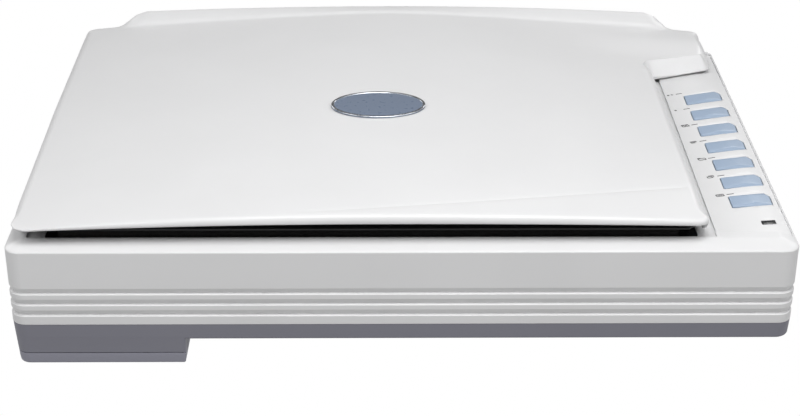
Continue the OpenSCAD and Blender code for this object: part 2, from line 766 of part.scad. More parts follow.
module carriage_bushes() {
    color(amber_plastic) for (x = bush_x) difference() {
        bar_x(x + 0.1, x + 12.1, rod_y, rod_z, 6);
        bar_x(x - 1, x + 14, rod_y, rod_z, rod_d / 2 + run_gap - 0.02);
    }
}

module slider_pads() {
    color(white_plastic) for (s = [-1, 1], x = [car_x0 + 8, car_x1 - 20])
        block([x, s * rail_y - 4, 47.3], [x + 12, s * rail_y + 4, car_z0]);
}

module lamp_tube() {
    color(white_plastic) bar_y(-154, 154, -240.5, 83, 2);
}

module lamp_reflector() {
    color([0.8, 0.8, 0.82]) difference() {
        block([-245, -157, 76.5], [-236, 157, 85]);
        block([-244, -155.5, 77.5], [-237, 155.5, 86]);
    }
}

// Mirror strip 12 wide at (x, z), facing along the given angle
module mirror_strip(x, z, a, half) {
    translate([x, 0, z]) rotate([0, a, 0]) block([-6, -half, -1], [6, half, 1]);
}

module fold_mirrors() {
    color([0.85, 0.87, 0.9]) {
        mirror_strip(slit_x, 65, 47, 158);
        mirror_strip(-272, 73, -62, 150);
        mirror_strip(-240, 66, 75, 150);
    }
}

module lens_barrel() {
    color(black_plastic) difference() {
        union() {
            bar_x(-229, -213, 0, optic_z, 8);
            bar_x(-230.5, -228.9, 0, optic_z, 6.5);
        }
        bar_x(-231, -229.5, 0, optic_z, 5);
        bar_x(-213.8, -212, 0, optic_z, 5);
    }
}

module sensor_board() {
    color(board_green) block([car_x1 + 0.1, -45, 56.5], [car_x1 + 1.7, 45, 86]);
    color([0.2, 0.2, 0.22]) block([car_x1 - 3, -34, optic_z - 6], [car_x1 + 0.2, 34, optic_z + 6]);
}

module belt_clamp() {
    run_y = belt_y + belt_r;
    color([0.2, 0.2, 0.22]) difference() {
        block([clamp_x[0], run_y - 3.2, 40], [clamp_x[1], run_y + 4.6, car_z0 - 0.02]);
        block([clamp_x[0] - 1, run_y - 0.15, 39], [clamp_x[1] + 1, run_y + 1.4, 47.2]);
        block([clamp_x[0] - 1, run_y + 2.9, 39], [clamp_x[1] + 1, run_y + 6, 49]);
    }
}

cable_y = [95, 119];

// Flat cable from the main board along the floor to the carriage
module ribbon_cable() {
    color([0.92, 0.92, 0.9]) prism_y(cable_y[0], cable_y[1]) polygon([[-198.2, 60], [-198.8, 60],
        [-198.8, 28.4], [-197.6, 26.2], [-195, 25.2], [244, 25.2], [246, 25.9], [246, 37.5], [245.4, 37.5],
        [245.4, 26.4], [243.6, 25.7], [-195, 25.7], [-197.2, 26.6], [-198.2, 28.6]]);
}

module home_sensor() {
    color(black_plastic) difference() {
        block([flag_x - 6, flag_y - 5, 39.95], [flag_x + 8, flag_y + 5, 52]);
        block([flag_x - 7, flag_y - 2, 42.5], [flag_x + 9, flag_y + 2, 53]);
    }
}

// Slider that pins the carriage at its home end while the scanner is moved
module transport_lock() {
    color(key_blue) {
        block([-hw + 0.6, lock_y - 5, 17.3], [-hw + 5.5, lock_y + 1, 22.7]);
        block([-hw + 5.3, lock_y - 6.4, 15.5], [-hw + 7, lock_y - 0.6, 61]);
        block([-hw + 6.9, lock_y - 6, 55.5], [-hw + 8.9, lock_y - 0.6, 61]);
        bar_y(lock_y - 1, lock_y + 5, -hw + 7.8, 58.5, 1.05);
    }
}

// ---------- lid ----------

lid_right = 223.5;
bar_x0 = -257;
bar_x1 = 251;
lid_c = [-20, 10];
lid_corners = [[-284, -196, 16], [lid_right, -194, 12], [lid_right, 106, 3], [279.5, 129, 8], [277, 188, 12],
    [bar_x1 + 1, 188, 5], [bar_x1 - 11, hd, 6], [hinge_x[1] + 16, hd, 0], [hinge_x[1] + 15, hd, 0],
    [hinge_x[1] - 15, hd, 0], [hinge_x[1] - 16, hd, 0], [hinge_x[0] + 16, hd, 0],
    [hinge_x[0] + 15, hd, 0], [hinge_x[0] - 15, hd, 0], [hinge_x[0] - 16, hd, 0],
    [bar_x0 + 11, hd, 6], [bar_x0 - 1, 188, 5], [-288, 188, 16], [-289.5, 20, 0],
    [-287.8, -150, 14]];

function clamp01(t) = min(1, max(0, t));
function ease(t) = let (c = clamp01(t)) c * c * (3 - 2 * c);
function mix(a, b, t) = a + (b - a) * t;
function unit(v) = v / norm(v);
function bend(a, b, c, t) = (1 - t) * (1 - t) * a + 2 * t * (1 - t) * b + t * t * c;
function xy(v) = [v[0], v[1]];

// Front style line: the facet in front of it falls a little more steeply
function crease_y(x) = -186 + 58 * pow(clamp01((x + 280) / 500), 1.3);
// Heights of the lid along its front edge and along the foot of the rear bar
function lid_front(x) = let (d = (x + 10) / 237) lid_front_z - lid_front_fall * (d < 0 ? 1 : 0.5) * d * d;
function lid_rear(x) = let (d = (x + 8) / 244)
    lid_rear_z - lid_rear_fall * (d < 0 ? 1 : 1.13) * (pow(d * d + 0.01, 0.665) - 0.047);
// Sag of the lid's right side towards the notch over the panel
function lid_sag(x, y) = 4.5 * ease((x - 130) / 90) * ease((y + 190) / 250) * ease((165 - y) / 50);
function lid_base(x, y) = mix(lid_front(x), lid_rear(x), clamp01((y + 196) / 377)) - lid_sag(x, y)
    - 0.03 * max(0, crease_y(x) - y);
// Rear bar: a short slope up from its foot, then a top that climbs to its rear edge
function bar_rear(x) = bar_z - (x < -3 ? 5.8 : 7.5) * pow((x + 3) / 250, 2);
function bar_front(x) = lid_rear(x) + 1.7 + 2.8 * pow(x / 244, 2);
function bar_top(x, y) = mix(bar_front(x), bar_rear(x), ease((y - 184) / 13));
function bar_weight(x, y) = ease((y - 181) / 5) * ease((x - bar_x0) / 26) * ease((bar_x1 - x) / 24);
function lid_top(x, y) = let (b = lid_base(x, y)) mix(b, max(b, bar_top(x, y)), bar_weight(x, y));

// Height of the lid's lower edge: high arc at the front, low at the sides, notched at the hinges
function lid_low(x, y) = let (front = 115.5 - (x < -28 ? 5.5 : 2.75) * pow((x + 28) / 255, 2),
    side = mix(front, 101.6, ease((y + 190) / 30)),
    corner = x > 205 ? mix(side, 101.6, ease((y + 186) / 10)) : side)
    y > hd - 1 && min(abs(x - hinge_x[0]), abs(x - hinge_x[1])) < 15.5 ? 113 : corner;

// Outline of the lid with its corners rounded and its long sides divided
function lid_outline() = let (n = len(lid_corners)) [for (i = [0:n - 1])
    let (p = xy(lid_corners[(i + n - 1) % n]), c = xy(lid_corners[i]), q = xy(lid_corners[(i + 1) % n]),
        r = lid_corners[i][2], rq = lid_corners[(i + 1) % n][2],
        a = c + r * unit(p - c), b = c + r * unit(q - c), e = q + rq * unit(c - q),
        parts = max(1, round(norm(e - b) / 48)))
    each concat(r > 0 ? [for (k = [0:3]) bend(a, c, b, k / 4)] : [], [b],
        parts > 1 ? [for (k = [1:parts - 1]) mix(b, e, k / parts)] : [])];

// Outward normals of an outline that runs counter-clockwise
function normals(o) = let (n = len(o)) [for (i = [0:n - 1])
    let (d = unit(unit(o[i] - o[(i + n - 1) % n]) + unit(o[(i + 1) % n] - o[i]))) [d[1], -d[0]]];
function inset(o, nn, d) = [for (i = [0:len(o) - 1]) o[i] - d * nn[i]];
function shrink(o, s) = [for (p = o) lid_c + s * (p - lid_c)];
function at_top(o, drop) = [for (p = o) [p[0], p[1], lid_top(p[0], p[1]) - drop]];
// Depth and height of the rolled upper edge: broad along the sides, narrow at the front and back
function broad(p) = ease((p[1] + 186) / 14) * ease((184 - p[1]) / 8);
function edge_w(p) = min(mix(5, 9, broad(p)), edge_r(p));
function edge_r(p) = max(0.6, min(mix(5, 12, broad(p)), lid_top(p[0], p[1]) - lid_low(p[0], p[1]) - 1.4));

module lid_shell() {
    o = lid_outline();
    nn = normals(o);
    n = len(o);
    far = inset(o, nn, 20);
    function edge(du, dz) = [for (i = [0:n - 1]) let (w = edge_w(o[i]), p = o[i] - du * w * nn[i],
        q = o[i] - w * nn[i]) [p[0], p[1], lid_top(q[0], q[1]) - dz * edge_r(o[i])]];
    function foot(d, up) = [for (i = [0:n - 1]) let (p = o[i] - d * nn[i])
        [p[0], p[1], lid_low(o[i][0], o[i][1]) + up]];
    outer = [foot(0.7, 0), foot(0, 1), edge(0, 1), edge(0.12, 0.55), edge(0.35, 0.26), edge(0.65, 0.08),
        at_top(inset(o, nn, 14), 0), at_top(far, 0), at_top(shrink(far, 0.84), 0), at_top(shrink(far, 0.66), 0),
        at_top(shrink(far, 0.48), 0), at_top(shrink(far, 0.3), 0), at_top(shrink(far, 0.14), 0)];
    inner = [at_top(shrink(far, 0.14), lid_t), at_top(shrink(far, 0.4), lid_t), at_top(shrink(far, 0.7), lid_t),
        at_top(far, lid_t), at_top(inset(o, nn, 14), lid_t),
        [for (i = [0:n - 1]) let (p = o[i] - (lid_t + 0.5 * edge_w(o[i])) * nn[i],
            q = o[i] - edge_w(o[i]) * nn[i]) [p[0], p[1], lid_top(q[0], q[1]) - lid_t - 0.14 * edge_r(o[i])]],
        foot(lid_t, 0.2)];
    rings = concat(outer, inner);
    m = len(rings);
    mo = len(outer);
    top = [lid_c[0], lid_c[1], lid_top(lid_c[0], lid_c[1])];
    pts = concat([for (r = rings, p = r) p], [top, top - [0, 0, lid_t]]);
    // bands between rings, but not across the two crowns, then the two fans and the lower rim
    bands = [for (k = [0:m - 2]) if (k != mo - 1) for (i = [0:n - 1]) let (j = (i + 1) % n)
        each [[k * n + i, (k + 1) * n + j, k * n + j], [k * n + i, (k + 1) * n + i, (k + 1) * n + j]]];
    fans = [for (i = [0:n - 1]) let (j = (i + 1) % n)
        each [[(mo - 1) * n + i, m * n, (mo - 1) * n + j], [mo * n + i, mo * n + j, m * n + 1]]];
    rim = [for (i = [0:n - 1]) let (j = (i + 1) % n)
        each [[(m - 1) * n + i, j, (m - 1) * n + j], [(m - 1) * n + i, i, j]]];
    color(light_plastic) polyhedron(points = pts, faces = concat(bands, fans, rim), convexity = 6);
}

module lid_inner_panel() {
    color(black_plastic) {
        difference() {
            prism_x(-274, 214) polygon([[-189.5, 108.1], [-189.5, 109.4], [-177, 108], [178, 108], [178, 106],
                [-176.5, 106]]);
            for (x = hinge_x, y = [160, 172], s = [-1, 1]) post(x + s * 10, y, 100, 115, 1.3);
            for (x = [-278, 218], y = [-193]) post(x, y, 100, 115, 10);
        }
        // bonding posts under the skin
        for (x = [-220, -30, 160], y = [-140, 0, 130])
            post(x, y, 107.9, lid_top(x, y) - lid_t - 2.4, 3);
    }
}

module foam_pad() {
    color([0.85, 0.85, 0.84]) block([window_x - 232, window_y - 160, 99.2], [window_x + 232, window_y + 156, 105.9]);
}

module document_mat() {
    color(white_plastic) block([window_x - 234, window_y - 162, 98.5], [window_x + 234, window_y + 158, 99.1]);
}

badge_c = [-18, -13];

module badge() {
    tilt = atan((lid_top(badge_c[0], badge_c[1] + 20) - lid_top(badge_c[0], badge_c[1] - 20)) / 40);
    rim = [for (a = [0:7.5:352.5]) [38.2 * cos(a), 24 * sin(a)]];
    color([0.45, 0.5, 0.56]) translate([badge_c[0], badge_c[1], lid_top(badge_c[0], badge_c[1]) + 0.1])
        rotate([tilt, 0, 0]) {
            linear_extrude(1) polygon(rim);
            translate([0, 0, 0.9]) linear_extrude(0.5) difference() {
                polygon(rim * 0.985);
                polygon(rim * 0.93);
            }
        }
}

// ---------- hinges ----------

ear_in = 12;
ear_out = 18;
knuckle_r = 5.5;

module hinge_arms() {
    color(light_plastic) for (x = hinge_x) difference() {
        union() {
            block([x - ear_out, 152, axis_z - 1], [x + ear_out, 181, 105.9]);
            for (s = [-1, 1]) {
                e = s > 0 ? [ear_in, ear_out] : [-ear_out, -ear_in];
                block([x + e[0], 178, axis_z - 1], [x + e[1], axis_y, 105.9]);
                bar_x(x + e[0], x + e[1], axis_y, axis_z, knuckle_r);
            }
        }
        bar_x(x - 20, x + 20, axis_y, axis_z, 2 + run_gap);
        for (y = [160, 172], s = [-1, 1]) post(x + s * 10, y, 100, 115, 1.6);
    }
}

module hinge_legs() {
    color(grey_plastic) for (x = hinge_x) difference() {
        union() {
            block([x - 11, axis_y - 3.2, 52], [x + 11, axis_y + 5.2, 95]);
            block([x - 5.8, axis_y - 3.2, 94], [x + 5.8, axis_y + 4.6, axis_z]);
            bar_x(x - 5.8, x + 5.8, axis_y, axis_z, knuckle_r);
        }
        bar_x(x - 20, x + 20, axis_y, axis_z, 2.03);
        // lightening pocket at the front of the leg
        block([x - 7, axis_y - 4, 56], [x + 7, axis_y - 1, 80]);
    }
}

module hinge_pins() {
    color([0.75, 0.76, 0.78]) for (x = hinge_x) {
        bar_x(x - 19.5, x + 18.6, axis_y, axis_z, 2);
        bar_x(x - 20.4, x - 19.4, axis_y, axis_z, 3.2);
    }
}

module hinge_springs() {
    color([0.6, 0.6, 0.62]) for (x = hinge_x, s = [0, 1])
        translate([x + (s == 0 ? 6.9 : -11.3), axis_y, axis_z]) rotate([0, 90, 0]) coil(3.4, 0.45, 1.25, 3.5, 12);
}

// ---------- fasteners ----------

module housing_screws() {
    color([0.75, 0.76, 0.78]) for (x = boss_x, s = [-1, 1]) screw(x, s * boss_y, under_z + 1.6, -1, 2.4, 16);
}

module bracket_screws() {
    color([0.75, 0.76, 0.78]) {
        for (p = bracket_posts) screw(p[0], p[1], bracket_z + 1.52, 1, 2.4, 8);
        screw(idler_x + 12, belt_y - 8, 28.75, 1, 1.8, 3);
    }
}

module lid_screws() {
    color([0.75, 0.76, 0.78]) for (x = hinge_x, y = [160, 172], s = [-1, 1]) screw(x + s * 10, y, axis_z - 1.02, -1, 2.4, 6);
}

// ---------- drawing ----------

lower_housing();
foot_cover();
rubber_feet();
upper_housing();
glass_bezel();
platen_glass();
calibration_strip();
button_panel();
button_board();
tact_switches();
status_window();
key(0);  // key_scan
key(1);  // key_copy
key(2);  // key_file
key(3);  // key_text
key(4);  // key_mail
key(5);  // key_custom_a
key(6);  // key_custom_b
main_board();
usb_port();
dc_jack();
power_switch_frame();
power_rocker();
guide_rod();
rod_clamps();
slide_rails();
drive_motor();
motor_bracket();
motor_pinion();
drive_gear();
pulley_axles();
idler_pulley();
tension_bracket();
tension_spring();
drive_belt();
carriage_housing();
carriage_cover();
carriage_bushes();
slider_pads();
lamp_tube();
lamp_reflector();
fold_mirrors();
lens_barrel();
sensor_board();
belt_clamp();
ribbon_cable();
home_sensor();
transport_lock();
lid_shell();
lid_inner_panel();
foam_pad();
document_mat();
badge();
hinge_arms();
hinge_legs();
hinge_pins();
hinge_springs();
housing_screws();
bracket_screws();
lid_screws();
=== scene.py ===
"""Flatbed scanner: the looks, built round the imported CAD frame.

Shapes are worked out in millimetres in the frame's own axes and turned into metres when a piece is made.
"""

import math

import bpy
import numpy as np
from mathutils import Matrix, Vector
from mathutils.geometry import delaunay_2d_cdt


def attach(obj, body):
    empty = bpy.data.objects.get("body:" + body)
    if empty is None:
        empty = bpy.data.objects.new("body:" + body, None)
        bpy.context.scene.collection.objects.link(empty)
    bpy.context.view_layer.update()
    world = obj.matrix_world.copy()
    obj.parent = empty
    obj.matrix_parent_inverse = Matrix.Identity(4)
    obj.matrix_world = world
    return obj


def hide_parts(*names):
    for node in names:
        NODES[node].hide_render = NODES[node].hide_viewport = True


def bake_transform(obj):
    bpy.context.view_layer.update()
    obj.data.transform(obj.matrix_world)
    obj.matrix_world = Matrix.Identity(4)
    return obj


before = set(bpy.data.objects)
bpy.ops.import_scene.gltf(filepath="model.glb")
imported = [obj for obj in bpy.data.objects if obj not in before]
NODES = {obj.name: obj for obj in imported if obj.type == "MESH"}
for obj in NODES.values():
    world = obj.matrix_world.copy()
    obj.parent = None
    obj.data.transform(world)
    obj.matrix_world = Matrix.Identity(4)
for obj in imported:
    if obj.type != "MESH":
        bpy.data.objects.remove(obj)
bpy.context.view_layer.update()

# ---------------- the design's own numbers
# half width and half depth of the body, radius of its corners, thickness of its walls
HW, HD, CORNER_R, WALL = 290.0, 200.0, 12.0, 3.0
# levels: top of the front wall, seam between the housings, underside, seam under the pod
CREASE_Z, SPLIT_Z, UNDER_Z, FOOT_Z = 95.0, 35.0, 21.3, 9.7
FLOOR_TOP, POD_FLOOR = UNDER_Z + WALL, FOOT_Z + WALL
DECK_Z, LEDGE_Z, LEDGE_Y = 98.0, 88.0, 183.0
# right end of the pod under the left side, and the radius of its left corners
POD_X1, POD_R = -161.0, 10.3
# the glass that is left open by its black frame: centre, width and depth
WINDOW_X, WINDOW_Y, WINDOW_W, WINDOW_D = -25.0, -5.0, 440.0, 310.0
HINGE_X, AXIS_Y = (-200.0, 160.0), 188.0
POD_FEET = [(x, y) for x in (-HW + 28, POD_X1 - 24) for y in (-HD + 28, HD - 28)]
RIGHT_FEET = [(234, -112), (234, 148)]
HOUSING_SCREWS = [(x, s * 178) for x in (-150, 60, 236) for s in (-1, 1)]
BRACKET_POSTS = [(-280, -10), (-238, -10), (-238, -72), (-281, -72)]
ROD_Z, ROD_R, RAIL_Y, RAIL_Z = 44, 4, 150, 46
BELT_Y, BELT_R, DRIVE_X, IDLER_X = -24.0, 8.0, -262.0, 228.0
PANEL_X0, PANEL_X1, PANEL_Y0, PANEL_Y1 = 230.6, 288.0, -177.4, 179.0
# the panel's recess in the rim: left side, its floor there, depth below the panel's top
SEAT_X0, SEAT_Z, SEAT_DEPTH = 228.6, 97.6, 2.4
# section of the panel and of the keys' tops, as (x, height)
PANEL = np.array([[PANEL_X0, 100], [258, 100], [266, 99.7], [273, 99], [279, 97.9], [284, 96.6],
                  [PANEL_X1, 95.4]])
CAP = np.array([[240, 100.7], [258, 100.7], [266, 100.3], [273, 99.3], [279, 97.8], [286, 96]])
KEYS = ["key_scan", "key_copy", "key_file", "key_text", "key_mail", "key_custom_a", "key_custom_b"]
KEY_W, KEY_D, KEY_PITCH = 33.0, 18.5, 32.4
OPEN_Z = 110.0  # above all of the body; cuts that open upward end here
LINE_GAP = 0.8  # an inner line of a mesh keeps this far from the mesh's outline


def clamp01(t):
    return min(1.0, max(0.0, t))


def ease(t):
    c = clamp01(t)
    return c * c * (3 - 2 * c)


def mix(a, b, t):
    return a + (b - a) * t


# ---------------- outlines
def unit(v):
    return v / max(np.linalg.norm(v), 1e-12)


def rounded(corners, steps=8, side=12.0):
    """Closed outline through corners (x, y, cut): each corner is a bend that starts cut before it."""
    c = [np.array(p[:2], float) for p in corners]
    cut = [p[2] for p in corners]
    n, out = len(c), []
    for i in range(n):
        p, q = c[i - 1], c[(i + 1) % n]
        a, b = c[i] + cut[i] * unit(p - c[i]), c[i] + cut[i] * unit(q - c[i])
        end = q + cut[(i + 1) % n] * unit(c[i] - q)
        if cut[i] > 0:
            out += [(1 - t) ** 2 * a + 2 * t * (1 - t) * c[i] + t * t * b for t in np.arange(steps) / steps]
        out.append(b)
        parts = max(1, round(np.linalg.norm(end - b) / side))
        out += [mix(b, end, k / parts) for k in range(1, parts)]
    return np.array(out)


def fillet(points, steps=4):
    """Closed outline through points (x, y, r), with true arcs of radius r at its corners."""
    n, out = len(points), []
    for i, (x, y, r) in enumerate(points):
        c = np.array([x, y], float)
        p, q = np.array(points[i - 1][:2], float), np.array(points[(i + 1) % n][:2], float)
        u, v = unit(p - c), unit(q - c)
        turn = math.acos(max(-1.0, min(1.0, float(u @ v))))
        if r <= 0 or turn > 3.1:
            out.append(c)
            continue
        cut = min(r / math.tan(turn / 2), 0.49 * np.linalg.norm(p - c), 0.49 * np.linalg.norm(q - c))
        r = cut * math.tan(turn / 2)
        centre = c + unit(u + v) * r / math.sin(turn / 2)
        a, b = c + u * cut - centre, c + v * cut - centre
        a0 = math.atan2(a[1], a[0])
        sweep = (math.atan2(b[1], b[0]) - a0 + math.pi) % (2 * math.pi) - math.pi
        out += [centre + r * np.array([math.cos(a0 + sweep * k / steps), math.sin(a0 + sweep * k / steps)])
                for k in range(steps + 1)]
    return np.array(out)


def circle(x, y, r, n=40):
    angles = [2 * math.pi * k / n for k in range(n)]
    return np.array([(x + r * math.cos(a), y + r * math.sin(a)) for a in angles])


def oblong(lo, hi, r, steps=8):
    """Rounded rectangle, anticlockwise."""
    return fillet([(lo[0], lo[1], r), (hi[0], lo[1], r), (hi[0], hi[1], r), (lo[0], hi[1], r)], steps)


def ccw(loop):
    """The outline in anticlockwise order."""
    loop = np.asarray(loop, float)
    x, y = loop[:, 0], loop[:, 1]
    return loop if float(np.sum(x * np.roll(y, -1) - np.roll(x, -1) * y)) > 0 else loop[::-1]


def normals(loop):
    """Outward normals of an anticlockwise outline."""
    def units(d):
        return d / np.maximum(np.linalg.norm(d, axis=1), 1e-9)[:, None]

    d = units(units(loop - np.roll(loop, 1, 0)) + units(np.roll(loop, -1, 0) - loop))
    return np.stack([d[:, 1], -d[:, 0]], 1)


def inside(p, loops):
    """Which of the points p lie within the loops; a loop in another one is a hole."""
    hit = np.zeros(len(p), bool)
    for loop in loops:
        a = np.asarray(loop)[:, :2]
        for (x0, y0), (x1, y1) in zip(a, np.roll(a, -1, 0)):
            if y0 == y1:
                continue
            cross = (y0 > p[:, 1]) != (y1 > p[:, 1])
            hit ^= cross & (p[:, 0] < x0 + (p[:, 1] - y0) * (x1 - x0) / (y1 - y0))
    return hit


def distance(p, loops):
    """Distance of each of the points p from the nearest side of the loops."""
    best = np.full(len(p), 1e9)
    for loop in loops:
        a = np.asarray(loop)[:, :2]
        for s, e in zip(a, np.roll(a, -1, 0)):
            d = e - s
            t = np.clip(((p - s) @ d) / max(float(d @ d), 1e-12), 0, 1)
            best = np.minimum(best, np.linalg.norm(p - (s + t[:, None] * d), axis=1))
    return best


# ---------------- meshes in millimetres
class Shell:
    """Vertices and faces of one closed mesh."""

    def __init__(self):
        self.v, self.f = [], []

    def ring(self, points):
        start = len(self.v)
        self.v += [tuple(float(c) for c in p) for p in points]
        return list(range(start, len(self.v)))

    def bands(self, *rings):
        """Joins each ring to the next with quads."""
        for a, b in zip(rings, rings[1:]):
            for i in range(len(a)):
                j = (i + 1) % len(a)
                self.f.append((a[i], a[j], b[j], b[i]))

    def cap(self, ring, up=True):
        self.f.append(tuple(ring if up else ring[::-1]))

    def fill(self, rings, height, xs=(), ys=(), up=True, lines=(), keep=None):
        """Covers the area between rings (outer anticlockwise, holes clockwise) with triangles. Inner points
        stand on the grid xs by ys, where keep(x, y) allows them, and on the open lines given, which become
        edges; height(x, y) sets their level."""
        loops = [np.array([self.v[i][:2] for i in r]) for r in rings]
        flat, index, edges = [], [], []
        for ring, loop in zip(rings, loops):
            s = len(flat)
            flat += [tuple(p) for p in loop]
            index += list(ring)
            edges += [(s + k, s + (k + 1) % len(ring)) for k in range(len(ring))]
        extra = []
        for line in lines:
            line = np.asarray(line, float)
            good = inside(line, loops) & (distance(line, loops) > LINE_GAP)
            last = None
            for p, ok in zip(line, good):
                if ok:
                    extra.append(tuple(p))
                    if last is not None:
                        edges.append((len(flat) + last, len(flat) + len(extra) - 1))
                    last = len(extra) - 1
                else:
                    last = None
        if len(xs) and len(ys):
            gx, gy = np.meshgrid(xs, ys)
            grid = np.stack([gx.ravel(), gy.ravel()], 1)
            step = min(float(np.min(np.diff(xs))), float(np.min(np.diff(ys))))
            grid = grid[inside(grid, loops)]
            grid = grid[distance(grid, loops) > 0.5 * step]
            if keep is not None:
                grid = grid[[keep(x, y) for x, y in grid]]
            extra += [tuple(p) for p in grid]
        base = len(self.v)
        self.v += [(float(x), float(y), float(height(x, y))) for x, y in extra]
        index += list(range(base, base + len(extra)))
        flat += extra
        out, _, tris, origin, _, _ = delaunay_2d_cdt([Vector(p) for p in flat], edges, [], 0, 1e-6, True)
        where = [index[o[0]] if o else -1 for o in origin]
        xy = np.array([(p.x, p.y) for p in out])
        tri = np.array([t for t in tris if len(t) == 3])
        good = inside(xy[tri].mean(1), loops)
        for t, ok in zip(tri, good):
            face = tuple(where[k] for k in t)
            if ok and min(face) >= 0 and len(set(face)) == 3:
                a, b, c = (xy[k] for k in t)
                turn = (b[0] - a[0]) * (c[1] - a[1]) - (b[1] - a[1]) * (c[0] - a[0])
                self.f.append(face if (turn > 0) == up else face[::-1])

    def data(self):
        return np.array(self.v), self.f


def plate(outline, top, bottom, roll, holes=(), hole_roll=0.5, xs=(), ys=(), steps=4):
    """Closed plate between the heights top(x, y) and bottom(x, y), with its upper edges rolled over."""
    s = Shell()
    tops, lows = [], []
    for k, loop in enumerate([outline, *holes]):
        loop = ccw(loop) if k == 0 else ccw(loop)[::-1]
        nn = normals(loop)
        r = roll if k == 0 else hole_roll
        rings = [s.ring([(*p, bottom(*p)) for p in loop])]
        for a in [math.pi / 2 * i / steps for i in range(steps + 1)]:
            drop = r * (1 - math.sin(a))
            rings.append(s.ring([(*q, top(*q) - drop) for q in loop - r * (1 - math.cos(a)) * nn]))
        s.bands(*rings)
        lows.append(rings[0])
        tops.append(rings[-1])
    s.fill(tops, top, xs, ys)
    s.fill(lows, bottom, xs[::2] if len(xs) > 3 else xs, ys[::2] if len(ys) > 3 else ys, up=False)
    return s.data()


def box(lo, hi):
    v = [(x, y, z) for z in (lo[2], hi[2]) for y in (lo[1], hi[1]) for x in (lo[0], hi[0])]
    f = [(0, 2, 3, 1), (4, 5, 7, 6), (0, 1, 5, 4), (2, 6, 7, 3), (0, 4, 6, 2), (1, 3, 7, 5)]
    return np.array(v, float), f


def prism(loop, a, b, axis="z"):
    """Outline given as (x, y), (x, z) or (y, z) and drawn out from a to b along the axis left over."""
    loop = np.asarray(loop, float)
    n = len(loop)
    put = {"z": lambda p, t: (p[0], p[1], t), "y": lambda p, t: (p[0], t, p[1]),
           "x": lambda p, t: (t, p[0], p[1])}[axis]
    v = np.array([put(p, a) for p in loop] + [put(p, b) for p in loop], float)
    f = [tuple(range(n - 1, -1, -1)), tuple(range(n, 2 * n))]
    f += [(i, (i + 1) % n, n + (i + 1) % n, n + i) for i in range(n)]
    return oriented(v, f)


def rod(a, b, x, y, r, axis="z", n=40):
    return prism(circle(x, y, r, n), a, b, axis)


def oriented(v, f):
    """The mesh with its faces turned over if they point inward."""
    vol = 0.0
    for face in f:
        p = v[list(face)]
        for i in range(1, len(face) - 1):
            vol += float(np.dot(p[0], np.cross(p[i], p[i + 1])))
    return (v, f) if vol > 0 else (v, [tuple(reversed(x)) for x in f])


def wall_ring(profile, seg=14):
    """Sweeps a closed wall profile, (outward from the corners' centres, height), round the body."""
    stations = []
    for k, (sx, sy) in enumerate([(1, 1), (-1, 1), (-1, -1), (1, -1)]):
        for i in range(seg + 1):
            t = math.pi / 2 * (k + i / seg)
            stations.append((sx * (HW - CORNER_R), sy * (HD - CORNER_R), math.cos(t), math.sin(t)))
    n, m = len(stations), len(profile)
    v = [(x + u * dx, y + u * dy, z) for x, y, dx, dy in stations for u, z in profile]
    f = [(i * m + j, ((i + 1) % n) * m + j, ((i + 1) % n) * m + (j + 1) % m, i * m + (j + 1) % m)
         for i in range(n) for j in range(m)]
    return oriented(np.array(v), f)


def loft(rings):
    """Closed solid through rings of equal length, lowest first."""
    s = Shell()
    idx = [s.ring(r) for r in rings]
    s.bands(*idx)
    s.cap(idx[0], up=False)
    s.cap(idx[-1])
    return s.data()


def stack(outline, levels):
    """Loft through outline(d) at the height z, for each (z, d) of levels."""
    return loft([[(*p, z) for p in outline(d)] for z, d in levels])


def turned(x, y, levels, n=40):
    """Upright turned solid through the (height, radius) of levels."""
    return stack(lambda r: circle(x, y, r, n), levels)


def csg(base, steps):
    """base with the solids of steps joined on or cut away, in turn; add and cut make the steps."""
    def temp(data):
        me = bpy.data.meshes.new("temp")
        me.from_pydata([tuple(p) for p in data[0]], [], data[1])
        ob = bpy.data.objects.new("temp", me)
        bpy.context.scene.collection.objects.link(ob)
        return ob

    main = temp(base)
    made = [main]
    for operation, data in steps:
        ob = temp(data)
        made.append(ob)
        mod = main.modifiers.new("csg", "BOOLEAN")
        mod.operation, mod.object, mod.solver = operation, ob, "MANIFOLD"
    bpy.context.view_layer.update()
    me = bpy.data.meshes.new_from_object(main.evaluated_get(bpy.context.evaluated_depsgraph_get()))
    v = np.array([p.co for p in me.vertices], float).reshape(-1, 3)
    f = [tuple(p.vertices) for p in me.polygons]
    for ob in made:
        old = ob.data
        bpy.data.objects.remove(ob)
        bpy.data.meshes.remove(old)
    bpy.data.meshes.remove(me)
    return v, f


def add(*solids):
    return [("UNION", s) for s in solids]


def cut(*solids):
    return [("DIFFERENCE", s) for s in solids]


def joined(*parts):
    """Several meshes as one."""
    v, f, n = [], [], 0
    for pv, pf in parts:
        v.append(pv)
        f += [tuple(i + n for i in face) for face in pf]
        n += len(pv)
    return np.concatenate(v), f


# ---------------- pieces
def piece(name, data, body, slot, nodes=(), angle=30, weighted=True, material=None):
    """Makes an object of a mesh in millimetres, in the finish of its slot unless material is given. It
    rides on body, stands in for the CAD nodes named, and is smooth over bends below angle."""
    me = bpy.data.meshes.new(name)
    me.from_pydata([tuple(p) for p in data[0] * 0.001], [], data[1])
    me.update()
    ob = bpy.data.objects.new(name, me)
    bpy.context.scene.collection.objects.link(ob)
    me.materials.append(material or FINISH[slot])
    me.polygons.foreach_set("use_smooth", [True] * len(me.polygons))
    me.set_sharp_from_angle(angle=math.radians(angle))
    if weighted:
        ob.modifiers.new("normals", "WEIGHTED_NORMAL").keep_sharp = True
    if body:
        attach(ob, body)
    if nodes:
        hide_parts(*nodes)
    return ob


# ---------------- materials
def tree(name):
    """A new material, its node tree and its main shader."""
    m = bpy.data.materials.new(name)
    m.use_nodes = True
    t = m.node_tree
    return m, t, t.nodes["Principled BSDF"]


